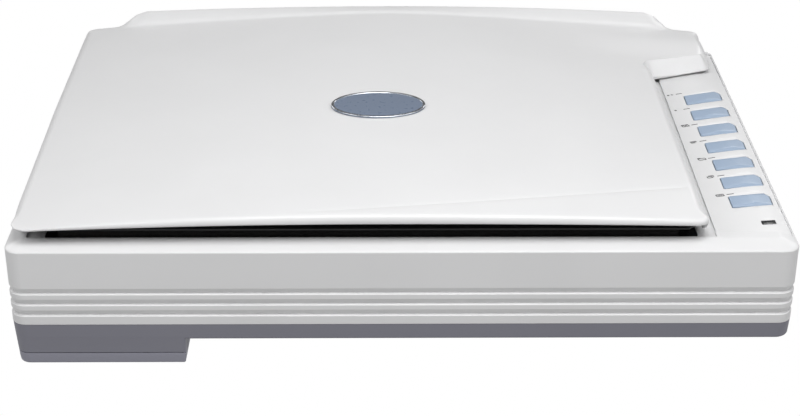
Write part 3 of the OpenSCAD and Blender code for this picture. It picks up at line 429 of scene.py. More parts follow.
def node(t, kind, **values):
    """Adds a node; each value sets an input of that name, or else a property."""
    n = t.nodes.new(kind)
    for k, v in values.items():
        if k in n.inputs:
            n.inputs[k].default_value = v
        else:
            setattr(n, k, v)
    return n


def place(t, scale=(1, 1, 1)):
    """Object coordinates, stretched."""
    coord = node(t, "ShaderNodeTexCoord")
    m = node(t, "ShaderNodeMapping", Scale=scale)
    t.links.new(coord.outputs["Object"], m.inputs["Vector"])
    return m.outputs["Vector"]


def noise(t, vector, scale, detail):
    n = node(t, "ShaderNodeTexNoise", Scale=scale, Detail=detail)
    t.links.new(vector, n.inputs["Vector"])
    return n.outputs["Fac"]


def ramp(t, value, lo, hi, start=0.3, end=0.7):
    """Maps value from start..end to lo..hi."""
    m = node(t, "ShaderNodeMapRange")
    for k, x in zip(("From Min", "From Max", "To Min", "To Max"), (start, end, lo, hi)):
        m.inputs[k].default_value = x
    t.links.new(value, m.inputs["Value"])
    return m.outputs["Result"]


def mixed(t, fac, a, b):
    """Blends two colours, each a tuple or a socket."""
    m = node(t, "ShaderNodeMix", data_type="RGBA")
    t.links.new(fac, m.inputs[0])
    for slot, c in ((6, a), (7, b)):
        if isinstance(c, tuple):
            m.inputs[slot].default_value = (*c, 1)
        else:
            t.links.new(c, m.inputs[slot])
    return m.outputs[2]


def blended(t, fac, a, b):
    """Mix of two shaders."""
    m = node(t, "ShaderNodeMixShader")
    for source, target in zip((fac, a, b), m.inputs):
        t.links.new(source, target)
    return m.outputs["Shader"]


def bumped(t, bsdf, height, depth):
    b = node(t, "ShaderNodeBump", Distance=depth, Strength=1.0)
    t.links.new(height, b.inputs["Height"])
    t.links.new(b.outputs["Normal"], bsdf.inputs["Normal"])


def shade(rgb, k):
    return tuple(min(1.0, c * k) for c in rgb)


def srgb(code):
    """Linear colour of a hexadecimal screen colour."""
    c = [int(code[i:i + 2], 16) / 255 for i in (0, 2, 4)]
    return tuple(x / 12.92 if x <= 0.04045 else ((x + 0.055) / 1.055) ** 2.4 for x in c)


def plastic(name, rgb, rough, grain=1500.0, depth=0.000012, mottle=0.015, spec=0.5):
    """Moulded plastic: fine spark-eroded grain, slightly uneven colour and sheen."""
    m, t, b = tree(name)
    at = place(t)
    slow = noise(t, at, 14.0, 4.0)
    t.links.new(mixed(t, ramp(t, slow, 0.0, 1.0), shade(rgb, 1 - mottle), shade(rgb, 1 + mottle)),
                b.inputs["Base Color"])
    t.links.new(ramp(t, noise(t, at, 260.0, 3.0), rough - 0.04, rough + 0.05), b.inputs["Roughness"])
    bumped(t, b, noise(t, at, grain, 2.0), depth)
    b.inputs["Specular IOR Level"].default_value = spec
    return m


def metal(name, rgb, rough, along=(1, 1, 1), depth=0.000008):
    """Drawn or turned metal with fine lines; along is small in the direction the lines run."""
    m, t, b = tree(name)
    lines = noise(t, place(t, along), 900.0, 3.0)
    t.links.new(mixed(t, ramp(t, lines, 0.0, 1.0), shade(rgb, 0.86), shade(rgb, 1.08)),
                b.inputs["Base Color"])
    t.links.new(ramp(t, lines, rough - 0.08, rough + 0.12), b.inputs["Roughness"])
    b.inputs["Metallic"].default_value = 1.0
    bumped(t, b, lines, depth)
    return m


def board(name):
    """Circuit board: solder mask over traces, with tinned pads."""
    m, t, b = tree(name)
    at = place(t)
    traces = node(t, "ShaderNodeTexBrick", Scale=260.0, Color1=(0.012, 0.09, 0.04, 1),
                  Color2=(0.014, 0.075, 0.035, 1), Mortar=(0.03, 0.17, 0.07, 1))
    traces.inputs["Mortar Size"].default_value = 0.09
    t.links.new(at, traces.inputs["Vector"])
    pads = node(t, "ShaderNodeTexVoronoi", Scale=210.0)
    t.links.new(at, pads.inputs["Vector"])
    pad = ramp(t, pads.outputs["Distance"], 1.0, 0.0, 0.16, 0.2)
    t.links.new(mixed(t, pad, traces.outputs["Color"], (0.55, 0.53, 0.45)), b.inputs["Base Color"])
    t.links.new(ramp(t, pad, 0.35, 0.25, 0.0, 1.0), b.inputs["Roughness"])
    bumped(t, b, traces.outputs["Fac"], 0.00003)
    return m


def foam(name, rgb):
    """Open-cell foam: small pores, darkened in colour as painted shade in their hollows, and a dusty sheen.
    """
    m, t, b = tree(name)
    at = place(t)
    cells = node(t, "ShaderNodeTexVoronoi", Scale=900.0)
    t.links.new(at, cells.inputs["Vector"])
    # painted shade: the colour darkens towards the middle of each cell, where the pore sinks in
    t.links.new(mixed(t, ramp(t, cells.outputs["Distance"], 1.0, 0.0, 0.05, 0.4), rgb, shade(rgb, 0.6)),
                b.inputs["Base Color"])
    b.inputs["Roughness"].default_value = 0.95
    b.inputs["Sheen Weight"].default_value = 0.3
    bumped(t, b, cells.outputs["Distance"], 0.0004)
    return m


def clear_glass(name):
    """Platen glass: see-through, with a faint green tint and a mirror sheen at low angles."""
    m, t, b = tree(name)
    out = t.nodes["Material Output"]
    t.nodes.remove(b)
    see = node(t, "ShaderNodeBsdfTransparent", Color=(0.86, 0.93, 0.9, 1))
    gloss = node(t, "ShaderNodeBsdfGlossy")
    fres = node(t, "ShaderNodeFresnel", IOR=1.5)
    smudge = ramp(t, noise(t, place(t), 20.0, 4.0), 0.015, 0.05)
    t.links.new(smudge, gloss.inputs["Roughness"])
    both = blended(t, fres.outputs["Fac"], see.outputs["BSDF"], gloss.outputs["BSDF"])
    t.links.new(both, out.inputs["Surface"])
    return m


def lamp_material(name):
    """Cold-cathode tube: white phosphor behind glass."""
    m, t, b = tree(name)
    cloud = ramp(t, noise(t, place(t), 90.0, 2.0), 0.0, 1.0)
    t.links.new(mixed(t, cloud, (0.85, 0.86, 0.86), (0.93, 0.94, 0.95)), b.inputs["Base Color"])
    b.inputs["Roughness"].default_value = 0.15
    b.inputs["Coat Weight"].default_value = 0.6
    return m


LIGHT = (0.70, 0.70, 0.705)
# colour; then, where they differ, roughness, scale and depth of the grain, unevenness, mirror sheen
PLASTICS = {
    "body_light": (LIGHT, 0.40),
    "lid_light": (LIGHT, 0.34, 1500.0, 0.000001, 0.012),
    # the panel inside the lid is coloured near black: painted shade for the dark gap under the lid's front
    # edge, where it shows
    "lid_inner": ((0.006, 0.006, 0.007), 0.6),
    "body_grey": (srgb("7d7d87"), 0.46, 1300.0, 0.000016),
    "foot_grey": (srgb("8c8c98"), 0.46, 1300.0, 0.000016),
    "leg_grey": (srgb("6e6e76"), 0.5),
    "rubber_black": ((0.022, 0.022, 0.024), 0.75, 700.0, 0.00005, 0.2),
    "bezel_black": ((0.010, 0.010, 0.011), 0.22, 2200.0, 0.000004, 0.1),
    "white_strip": ((0.9, 0.9, 0.89), 0.6),
    "key_blue": (srgb("98a9be"), 0.36, 1700.0, 0.00001),
    "window_black": ((0.004, 0.004, 0.005), 0.2, 300.0, 0.000001, 0.1, 0.15),
    "switch_grey": ((0.05, 0.05, 0.055), 0.4),
    "black_moulded": ((0.018, 0.018, 0.02), 0.45),
    "gear_white": ((0.78, 0.77, 0.72), 0.4),
    "belt_black": ((0.02, 0.02, 0.02), 0.6, 1200.0, 0.00004, 0.15),
    "carriage_black": ((0.022, 0.022, 0.024), 0.5),
    "pad_white": ((0.8, 0.8, 0.78), 0.35),
    "cable_white": ((0.75, 0.75, 0.74), 0.35),
    "lock_blue": (srgb("8fa8cc"), 0.4),
    "mat_white": ((0.85, 0.85, 0.845), 0.3, 500.0, 0.00001, 0.01),
    "badge": (srgb("6f7a8c"), 0.3, 1400.0, 0.000001, 0.01),
    "hinge_plastic": ((0.66, 0.66, 0.665), 0.45),
}
# colour and roughness; then stretch of the lines along x, y and z, and their depth
METALS = {
    "steel": ((0.6, 0.61, 0.62), 0.3, (0.2, 1, 1)),
    "rod_steel": ((0.72, 0.73, 0.74), 0.16, (1, 0.05, 0.05)),
    "socket_steel": ((0.7, 0.71, 0.73), 0.24, (1, 0.2, 1)),
    "motor_can": ((0.45, 0.46, 0.48), 0.35, (1, 1, 0.05)),
    "pinion_brass": ((0.75, 0.56, 0.25), 0.28),
    "bush_bronze": ((0.55, 0.36, 0.18), 0.4, (1, 0.3, 0.3), 0.00002),
    "reflector": ((0.85, 0.85, 0.86), 0.12, (1, 0.05, 1)),
    "mirror": ((0.9, 0.91, 0.93), 0.1, (1, 0.05, 1), 0.000001),
}
FINISH = {
    **{name: plastic(name, *look) for name, look in PLASTICS.items()},
    **{name: metal(name, *look) for name, look in METALS.items()},
    "glass": clear_glass("glass"),
    "board_green": board("board_green"),
    "lamp_white": lamp_material("lamp_white"),
    "foam": foam("foam", (0.72, 0.72, 0.71)),
}
# the marks beside the keys and the badge's rim have no slot of their own
PRINT = plastic("print_grey", (0.03, 0.03, 0.033), 0.5)
RIM = metal("badge_rim", (0.72, 0.74, 0.78), 0.22)


# ---------------- lower housing, foot cover, feet
def pod(i):
    """Outline of the pod under the left end, drawn in by i."""
    x0, x1, y, r = -HW + 1.7 + i, POD_X1 - max(i, 0), HD - 1.7 - i, POD_R - i
    return fillet([(x0, -y, r), (x1, -y, 1.2), (x1, y, 1.2), (x0, y, r)], 12)


def lower_housing():
    def low_u(z):
        """Outer face of the wall at the height z."""
        return CORNER_R - 0.4 - 0.07 * (SPLIT_Z - z)

    bend = 2.5
    c = low_u(UNDER_Z + bend) - bend
    prof = [(low_u(SPLIT_Z) - 0.35, SPLIT_Z), (low_u(SPLIT_Z) - 0.1, SPLIT_Z - 0.1),
            (low_u(SPLIT_Z - 0.35), SPLIT_Z - 0.35)]
    prof += [(c + bend * math.cos(a), UNDER_Z + bend * (1 - math.sin(a)))
             for a in np.linspace(0, math.pi / 2, 9)]
    # floor, inner face, and the tongue that stands in the upper housing
    prof += [(0.5, UNDER_Z), (0.5, FLOOR_TOP), (6.1, FLOOR_TOP), (7.1, FLOOR_TOP + 1), (7.1, SPLIT_Z - 3),
             (5.3, SPLIT_Z - 1.5), (5.3, 37.9), (5.6, 38.2), (7.5, 38.2), (7.8, 37.9), (7.8, SPLIT_Z)]
    tub = stack(pod, ((FOOT_Z, 0.95), (FOOT_Z + 0.3, 0.55), (FOOT_Z + 0.8, 0.45), (SPLIT_Z - 2, -1.13)))
    tub = csg(tub, cut(box((POD_X1 - WALL - 0.3, -HD, FLOOR_TOP), (POD_X1 + 5, HD, SPLIT_Z))))
    posts = [turned(x, y, ((1.6, 16.4), (2.2, 17), (UNDER_Z + 1, 17))) for x, y in RIGHT_FEET]
    hollow = prism(pod(3.2), POD_FLOOR, SPLIT_Z - 1.9)
    wells = [rod(4, FLOOR_TOP + 1, x, y, 13) for x, y in RIGHT_FEET]
    holes = [rod(UNDER_Z - 1, FLOOR_TOP + 1, x, y, 1.8, n=24) for x, y in HOUSING_SCREWS]
    sinks = [rod(UNDER_Z - 1, UNDER_Z + 1.6, x, y, 3.6, n=32) for x, y in HOUSING_SCREWS]
    lock_slots = [box((-HW, 12, 17), (-HW + 8, 26, 23)), box((-HW + 4.1, 9.5, 30.8), (-HW + 8, 26, 39))]
    rod_x0, rod_x1, rail_x1 = -HW + 5.6, 246, HW - 46
    rod_blocks = [box((rod_x0 - 0.4, -6, POD_FLOOR - 0.1), (rod_x0 + 5, 6, ROD_Z)),
                  box((rod_x1 - 5, -6, FLOOR_TOP - 0.1), (rod_x1 + 0.4, 6, ROD_Z))]
    rod_seats = [rod(x, x + 6.1, 0, ROD_Z, ROD_R, "x") for x in (rod_x0 - 0.1, rod_x1 - 6)]
    rails = []
    for y in (-RAIL_Y, RAIL_Y):
        rails += [box((-HW + 12, y - 1.5, POD_FLOOR - 0.1), (POD_X1 - WALL - 0.5, y + 1.5, RAIL_Z)),
                  box((POD_X1 - WALL - 0.6, y - 1.5, FLOOR_TOP - 0.1), (rail_x1, y + 1.5, RAIL_Z))]
    sensor_post = rod(POD_FLOOR - 0.1, 39.9, -225, 60, 3.2, n=28)
    spring_post = rod(FLOOR_TOP - 0.1, 35, IDLER_X - 28.6, BELT_Y, 1.5, n=20)
    tension_post = rod(FLOOR_TOP - 0.1, 27.1, IDLER_X + 12, BELT_Y - 8, 2.5, n=24)
    data = csg(wall_ring(prof),
               add(box((-HW + 11.4, -HD + 11.4, UNDER_Z), (HW - 11.4, HD - 11.4, FLOOR_TOP)), tub, *posts)
               + cut(hollow, *wells, *holes, *sinks, *lock_slots)
               + add(*rod_blocks) + cut(*rod_seats) + add(*rails)
               + add(*[rod(POD_FLOOR - 0.1, 27, x, y, 3.5, n=28) for x, y in BRACKET_POSTS])
               + cut(*[rod(POD_FLOOR + 2, 28, x, y, 1.3, n=20) for x, y in BRACKET_POSTS])
               + add(sensor_post, spring_post, tension_post))
    piece("tub", data, "base", "body_grey", ["lower_housing"])


def foot_cover():
    # the cover's side, as (height, drawn in by)
    side = [(0.35, 2.0), (0.55, 1.65), (0.9, 1.4), (1.4, 1.25), (2.2, 1.15), (3.6, 0.97), (6, 0.77),
            (8.9, 0.57), (9.2, 0.7), (9.3, 1.0)]
    pockets = [rod(0, 1.6, x, y, 8.2, n=48) for x, y in POD_FEET]
    data = csg(stack(pod, side), cut(prism(pod(4.5), 3.4, 14), *pockets))
    piece("foot_shoe", data, "base", "foot_grey", ["foot_cover"])


def rubber_feet():
    pads = []
    for x, y, r in [(*at, 8.0) for at in POD_FEET] + [(*at, 13.0) for at in RIGHT_FEET]:
        pad = turned(x, y, ((0.0, r - 0.9), (0.0, r - 0.6), (0.15, r - 0.2), (0.5, r), (1.6, r)), 48)
        dish = turned(x, y, ((-0.1, r - 2.2), (0.5, r - 2.8)), 48)
        pads.append(csg(pad, cut(dish)))
    piece("feet", joined(*pads), "base", "rubber_black", ["rubber_feet"])


# ---------------- upper housing
def upper_housing():
    def out_u(z):
        """Outer face of the wall at the height z."""
        return CORNER_R - 0.004 * (CREASE_Z - z)

    inner_u = CORNER_R - 4
    pts = [(12, 94.9, 0), (inner_u, 94.9, 0), (inner_u, SPLIT_Z, 0), (out_u(SPLIT_Z), SPLIT_Z, 0.4)]
    for louvre in range(3):
        z = 47.4 + 9.05 * louvre
        pts += [(out_u(z - 5.3), z - 5.3, 0.5), (out_u(z) - 1.9, z - 4.4, 0.45), (out_u(z), z, 0.8)]
    prof = [tuple(p) for p in fillet(pts, 4)]
    # the rim: level outlines (drawn in by, height, radius), each with smaller corners than the one below
    rim = [(0, 94.2, 12), (0, 94.9, 12), (0.25, 95.35, 11.75), (0.9, 95.85, 11.1), (2.4, 96.5, 10.1),
           (4.4, 97.25, 8.8), (6.4, 97.97, 7.4), (8.5, 98.65, 6), (10.3, 99.22, 4.9), (12.2, 99.75, 3.7),
           (13.2, 99.97, 3.1), (13.9, 100.05, 2.8)]
    deck = loft([[(*p, z) for p in oblong((-HW + d, -HD + d), (HW - d, HD - d), r, 12)] for d, z, r in rim])
    deck = csg(deck, cut(box((-HW + 4, -HD + 4, 94), (HW - 4, HD - 4, 95)),
                         prism(oblong((-HW + 15, -HD + 15), (HW - 15, HD - 15), 3), DECK_Z, OPEN_Z)))
    # the panel's seat follows the panel's underside
    seat = [(SEAT_X0, OPEN_Z), (SEAT_X0, SEAT_Z), *[(x, z - SEAT_DEPTH) for x, z in PANEL[1:-1]],
            (HW - 1.97, PANEL[-1][1] - SEAT_DEPTH), (HW - 1.97, OPEN_Z)]

    def round_window(grow, z0, z1):
        """Box over the window, larger by grow on every side."""
        wx, wy = WINDOW_W / 2 + grow, WINDOW_D / 2 + grow
        return box((WINDOW_X - wx, WINDOW_Y - wy, z0), (WINDOW_X + wx, WINDOW_Y + wy, z1))

    hinges = [box((x - 11.2, AXIS_Y - 3.4, 40), (x + 11.2, AXIS_Y + 5.4, OPEN_Z)) for x in HINGE_X]
    ledge = csg(box((-HW + 3.9, LEDGE_Y - 3, LEDGE_Z - 3), (HW - 3.9, HD - 3.9, LEDGE_Z)),
                add(box((-HW + 3.9, LEDGE_Y - 3, LEDGE_Z - 3), (HW - 3.9, LEDGE_Y, DECK_Z)))
                + cut(*hinges, box((SEAT_X0, LEDGE_Y - 4, SEAT_Z), (HW, HD, OPEN_Z))))
    # openings of the back wall: x and z of each one's middle, half its width and half its height
    sockets = [box((x - w, HD - 10, z - h), (x + w, HD + 1, z + h))
               for x, z, w, h in ((257, 45, 6.3, 5.8), (273.5, 45, 5.8, 5.8), (222, 56, 8.3, 6.3))]
    switch_flange = box((222 - 9.8, HD - 0.65, 56 - 7.8), (222 + 9.8, HD + 1, 56 + 7.8))
    data = csg(wall_ring(prof, 16),
               add(deck, round_window(12, 90.2, 95.1),
                   box((SEAT_X0 + 1.6, -HD + 14.9, 97), (HW - 14.9, PANEL_Y0 - 0.3, 100.05)),
                   *[rod(24.4, 97, x, y, 4, n=28) for x, y in HOUSING_SCREWS],
                   *[box((x - 14, LEDGE_Y - 1, 50), (x + 14, HD - 3.9, LEDGE_Z)) for x in HINGE_X])
               + cut(round_window(4, 80, OPEN_Z), round_window(8.5, 93.2, OPEN_Z),
                     prism(oblong((-262.3, -HD + 15.9), (217.3, HD - 41.7), 6), 96.3, OPEN_Z),
                     prism(seat, PANEL_Y0 - 0.3, PANEL_Y1 + 0.3, "y"),
                     box((243, PANEL_Y0 + 6, 80), (284, 112, OPEN_Z)),
                     box((-HW - 1, LEDGE_Y, LEDGE_Z), (HW + 1, HD + 1, OPEN_Z)), *hinges,
                     *[rod(20, 60, x, y, 1.25, n=20) for x, y in HOUSING_SCREWS],
                     *sockets, switch_flange)
               + add(ledge))
    piece("housing", data, "base", "body_light", ["upper_housing"])


def bezel():
    outline = oblong((-262, -HD + 16.2), (217, HD - 42), 6, 8)
    window = oblong((WINDOW_X - WINDOW_W / 2, WINDOW_Y - WINDOW_D / 2),
                    (WINDOW_X + WINDOW_W / 2, WINDOW_Y + WINDOW_D / 2), 1.0, 4)
    data = plate(outline, lambda x, y: DECK_Z, lambda x, y: DECK_Z - 1.6, 0.4, [window], 0.6)
    piece("platen_frame", data, "base", "bezel_black", ["glass_bezel"])


# ---------------- side panel and keys
def soft(table):
    """Height curve through a table, eased over its corners."""
    xs = np.linspace(table[0, 0], table[-1, 0], 241)
    zs = np.interp(xs, table[:, 0], table[:, 1])
    window = np.hanning(27)
    n = len(window) // 2
    ends = np.full(n, zs[0]), zs[-1] + (zs[-1] - zs[-2]) * np.arange(1, n + 1)
    zs = np.convolve(np.concatenate([ends[0], zs, ends[1]]), window / window.sum(), "valid")
    return lambda x, y=0.0: float(np.interp(x, xs, zs))


panel_z, cap_z = soft(PANEL), soft(CAP)


def key_xy(i):
    """Front left corner of key i, counted from the front, and the slope of its front edge."""
    return 250.2 - 0.55 * i, -139 + KEY_PITCH * i, 0.37 + 0.02 * i


def key_plan(i, g, r=1.1):
    """Outline of key i, grown by g, with its rear right corner clipped."""
    x, y, s = key_xy(i)
    x0, x1, yf, yb = x - g, x + KEY_W + g, y - g, y + KEY_D + g
    return fillet([(x0, yf - s * g, r), (x1, yf + s * (KEY_W + g), r),
                   (x1 + 0.3, yb + s * KEY_W - 5, r * 1.6), (x1 - 3.5, yb + s * (KEY_W - 3.5), r * 2.4),
                   (x0, yb - s * g, r)], 5)


def window_plan(g):
    """Outline of the status window, grown by g."""
    x, y, w, d, slope = 267.5, -165.5, 11.5, 6.4, 0.4
    return fillet([(x - g, y - g, 0.5), (x + w + g, y + w * slope - g, 0.5),
                   (x + w + g, y + w * slope + d + g, 0.5), (x - g, y + d + g, 0.5)], 3)


def side_panel():
    outline = rounded([(PANEL_X0, PANEL_Y0, 0.6), (PANEL_X1, PANEL_Y0, 2.5), (PANEL_X1, PANEL_Y1, 0.6),
                       (PANEL_X0, PANEL_Y1, 0.6)], 4, 9.0)
    holes = [key_plan(i, 0.5) for i in range(len(KEYS))] + [window_plan(0.15)]
    data = plate(outline, panel_z, lambda x, y: panel_z(x) - 2.2, 0.25, holes, 0.45,
                 np.arange(232.5, 287, 2.0), np.arange(-175, 178, 4.0))
    posts = []
    for i in (0, 3, 6):
        x, y, s = key_xy(i)
        for dx, top in ((-1, 98.5), (27, 97.0)):
            posts.append(rod(87.65, top, x + dx, y + s * dx - (KEY_PITCH - KEY_D) / 2, 2, n=24))
    piece("panel", csg(data, add(*posts)), "base", "body_light", ["button_panel"])


def keys():
    for i, name in enumerate(KEYS):
        x, y, s = key_xy(i)
        cap = plate(key_plan(i, 0), cap_z, lambda a, b: 92.6 if a > 270 else 94.0, 0.8,
                    xs=np.arange(247, 284, 2.0), ys=np.arange(y - 3, y + 36, 3.0), steps=5)
        flange = key_plan(i, 1.6, 0.6)
        flange[:, 0] = np.clip(flange[:, 0], x - 1.6, x + KEY_W - 0.2)
        stem = rod(92.85, 94.2, x + 14, y + KEY_D / 2 + 14 * s, 2, n=24)
        data = csg(cap, add(prism(flange, 93.0, 94.1), stem))
        piece(name.replace("key_", "cap_"), data, name, "key_blue", [name])


def status_window():
    data = plate(window_plan(0), lambda x, y: panel_z(x) - 0.25, lambda x, y: 94.0, 0.3,
                 xs=np.arange(268, 280, 1.5), ys=np.arange(-166, -153, 2.0))
    piece("indicator", data, "base", "window_black", ["status_window"])


def bar(p, q, w):
    """Thin printed stroke on the panel from p to q."""
    n = unit(np.array([-(q - p)[1], (q - p)[0]])) * w / 2
    corners = (p - n, q - n, q + n, p + n)
    return loft([[(*c, panel_z(c[0]) + dz) for c in corners] for dz in (-0.1, 0.06)])


def marks():
    """A small drawn sign and a stroke beside each key, in place of a word."""
    def frame_of(w, h):
        return [((0, 0), (w, 0)), ((0, h), (w, h)), ((0, 0), (0, h)), ((w, 0), (w, h))]

    plus = [((0, 1.5), (2.2, 1.5)), ((1.1, 0.4), (1.1, 2.6))]
    signs = [
        frame_of(6, 3) + [((1, 1.5), (5, 1.5))],
        frame_of(4, 2.2) + [((1.6, 3.4), (5.6, 3.4)), ((5.6, 1.2), (5.6, 3.4))],
        [((0, 0), (6, 0)), ((0, 2.6), (6, 2.6)), ((0, 0), (0, 3.4)), ((6, 0), (6, 2.6)),
         ((0, 3.4), (2.4, 3.4))],
        [((0, 0), (4, 0)), ((0, 1.3), (6, 1.3)), ((0, 2.6), (6, 2.6))],
        frame_of(6, 3.2) + [((0, 3.2), (3, 1.4)), ((3, 1.4), (6, 3.2))],
        plus,
        plus + [((3.8, 1.5), (6, 1.5)), ((4.9, 0.4), (4.9, 2.6))],
    ]
    parts = []
    for i, strokes in enumerate(signs):
        x, y, s = key_xy(i)
        a = math.atan(s * 0.8)
        turn = np.array([[math.cos(a), -math.sin(a)], [math.sin(a), math.cos(a)]])
        at = np.array([x - 8.5 - 0.9 * i, y + KEY_D + 0.2])
        for p, q, w in [(*stroke, 0.8) for stroke in strokes] + [((8.5, 1.2), (14.5, 1.2), 0.9)]:
            parts.append(bar(at + turn @ p, at + turn @ q, w))
    piece("panel_marks", joined(*parts), "base", "switch_grey", weighted=False, material=PRINT)


# ---------------- lid
BAR_X0, BAR_X1, BAR_Z = -257.0, 251.0, 138.03
LID_T = 2.6
LID_X1 = 223.5  # right side of the lid in front of its ear
LID_FRONT_Z, LID_FRONT_FALL, LID_REAR_Z, LID_REAR_FALL = 123.5, 9.2, 136.4, 14.4
# the lid's outline, as (x, y, cut of the corner)
LID = ([(-284, -196, 16), (LID_X1, -194, 12), (LID_X1, 106, 3), (279.5, 129, 8), (277, 188, 12),
        (252, 188, 5), (240, 200, 6)]
       + [(x, 200, 0) for h in HINGE_X[::-1] for x in (h + 16, h + 15, h - 15, h - 16)]
       + [(-246, 200, 6), (-258, 188, 5), (-288, 188, 16), (-289.5, 20, 0), (-287.8, -150, 14)])


def crease_y(x):
    """Where the lid starts to fall more steeply to the front."""
    return -186 + 58 * clamp01((x + 280) / 500) ** 1.3


def groove_y(x):
    """Course of the fine groove across the lid's front right."""
    return -193.6 + 52.7 * clamp01((x + 182) / 401) ** 1.75


def lid_front(x):
    """Height of the lid's front edge."""
    d = (x + 10) / 237
    return LID_FRONT_Z - LID_FRONT_FALL * (1 if d < 0 else 0.5) * d * d


def lid_rear(x):
    """Height of the lid along the foot of the rear bar."""
    d = (x + 8) / 244
    return LID_REAR_Z - LID_REAR_FALL * (1 if d < 0 else 1.13) * ((d * d + 0.01) ** 0.665 - 0.047)


def lid_top(x, y):
    """Height of the lid's skin: domed, a little sunk at the right, raised along the rear bar."""
    sag = 4.5 * ease((x - 130) / 90) * ease((y + 190) / 250) * ease((165 - y) / 50)
    base = mix(lid_front(x), lid_rear(x), clamp01((y + 196) / 377)) - sag - 0.03 * max(0.0, crease_y(x) - y)
    rear = BAR_Z - (5.8 if x < -3 else 7.5) * ((x + 3) / 250) ** 2
    front = lid_rear(x) + 1.7 + 2.8 * (x / 244) ** 2
    bar_top = mix(front, rear, ease((y - 184) / 13))
    w = ease((y - 181) / 5) * ease((x - BAR_X0) / 26) * ease((BAR_X1 - x) / 24)
    groove = 0.4 * math.exp(-(y - groove_y(x)) ** 2) * ease((x + 120) / 90) * ease((LID_X1 - 4 - x) / 8)
    return mix(base, max(base, bar_top), w) - groove


def lid_low(x, y):
    """Height of the lid's lower edge, with the finger gap at the front and gaps over the hinges."""
    front = 115.5 - (5.5 if x < -28 else 2.75) * ((x + 28) / 255) ** 2
    side = mix(front, 101.6, ease((y + 190) / 30))
    if x > 205:
        side = mix(side, 101.6, ease((y + 186) / 10))
    return 113.0 if y > HD - 1 and min(abs(x - h) for h in HINGE_X) < 15.5 else side


def lid_roll(x, y):
    """Width and height of the rolled upper edge: broad along the sides, narrow at the front and back."""
    k = ease((y + 186) / 14) * ease((184 - y) / 8)
    high = max(0.6, min(mix(5.0, 12.0, k), lid_top(x, y) - lid_low(x, y) - 1.4))
    return min(mix(5.0, 9.0, k), high), high


def lid_chamfer(x, y):
    """1 along the front of the ear, where the edge is a flat chamfer instead of a round."""
    return ease((x - LID_X1 + 3) / 3) * ease((y - 98) / 8) * ease((140 - y) / 6)


def lid():
    o = rounded(LID, 12, 7.0)
    nn = normals(o)
    s = Shell()

    def wall(d, lift):
        return s.ring([(*(p - d * m), lid_low(*p) + lift) for p, m in zip(o, nn)])

    def roll(a):
        pts = []
        for p, m in zip(o, nn):
            wide, high = lid_roll(*p)
            k, t = lid_chamfer(*p), a / (math.pi / 2)
            q = p - wide * mix(1 - math.cos(a), t, k) * m
            pts.append((*q, lid_top(*q) - high * mix(1 - math.sin(a), 1 - t, k)))
        return s.ring(pts)

    outer = [wall(0.9, 0.0), wall(0.45, 0.12), wall(0.12, 0.45), wall(0.0, 0.95)]
    outer += [roll(math.pi / 2 * k / 9) for k in range(10)]
    # edges of the mesh run along the groove and up the front of the bar, and the grid keeps clear of both
    groove = [[(x, groove_y(x) + d) for x in np.arange(-110, 222, 4.0)] for d in (-2, -1, 0, 1, 2)]
    rise = [[(x, y) for x in np.arange(-262, 257, 4.0)] for y in (181.0, 182.2, 183.5, 184.8, 186.0)]
    s.fill([outer[-1]], lid_top, np.arange(-288, 282, 5.0), np.arange(-192, 199, 5.0), lines=groove + rise,
           keep=lambda x, y: abs(y - groove_y(x)) > 4.0 and not 178.4 < y < 188.2)
    inner = [outer[0], wall(LID_T, 0.2)]
    for k in (0, 0.5, 1.0):
        under = []
        for p, m in zip(o, nn):
            wide, high = lid_roll(*p)
            q = p - (LID_T + k * wide) * m
            under.append((*q, lid_top(*q) - LID_T - (1 - k) * 0.6 * high))
        inner.append(s.ring(under))
    s.bands(*outer)
    for a, b in zip(inner, inner[1:]):
        s.bands(b, a)
    s.fill([inner[-1]], lambda x, y: lid_top(x, y) - LID_T, np.arange(-280, 275, 12.0),
           np.arange(-186, 193, 12.0), up=False, lines=rise[::4])
    piece("cover", s.data(), "lid", "lid_light", ["lid_shell"], angle=35, weighted=False)


def badge():
    cx, cy, half_w, half_d, n = -18.0, -13.0, 38.2, 24.0, 96
    tilt = (lid_top(cx, cy + 20) - lid_top(cx, cy - 20)) / 40
    base = lid_top(cx, cy) + 0.1
    s = Shell()

    def oval(d, z):
        """Ring drawn in by d, at z above the lid."""
        return s.ring([(cx + (half_w - d) * math.cos(a), cy + (half_d - d) * math.sin(a),
                        base + z + tilt * (half_d - d) * math.sin(a))
                       for a in np.linspace(0, 2 * math.pi, n, endpoint=False)])

    def dome(x, y):
        q = 1 - ((x - cx) / (half_w - 2.3)) ** 2 - ((y - cy) / (half_d - 2.3)) ** 2
        return base + tilt * (y - cy) + 1.15 + 0.25 * max(0.0, q)

    rings = [oval(d, z) for d, z in ((0.2, 0), (0, 0.15), (0, 1.0), (0.15, 1.3), (0.5, 1.5), (1.7, 1.5),
                                     (2.1, 1.42), (2.3, 1.15))]
    s.bands(*rings)
    rim_faces = range(2 * n, len(s.f))
    s.fill([rings[-1]], dome, np.arange(-56, 20, 2.5), np.arange(-37, 11, 2.5))
    s.cap(rings[0], up=False)
    ob = piece("badge_plate", s.data(), "lid", "badge", ["badge"], angle=50, weighted=False)
    ob.data.materials.append(RIM)
    for p in ob.data.polygons:
        p.material_index = int(p.index in rim_faces)


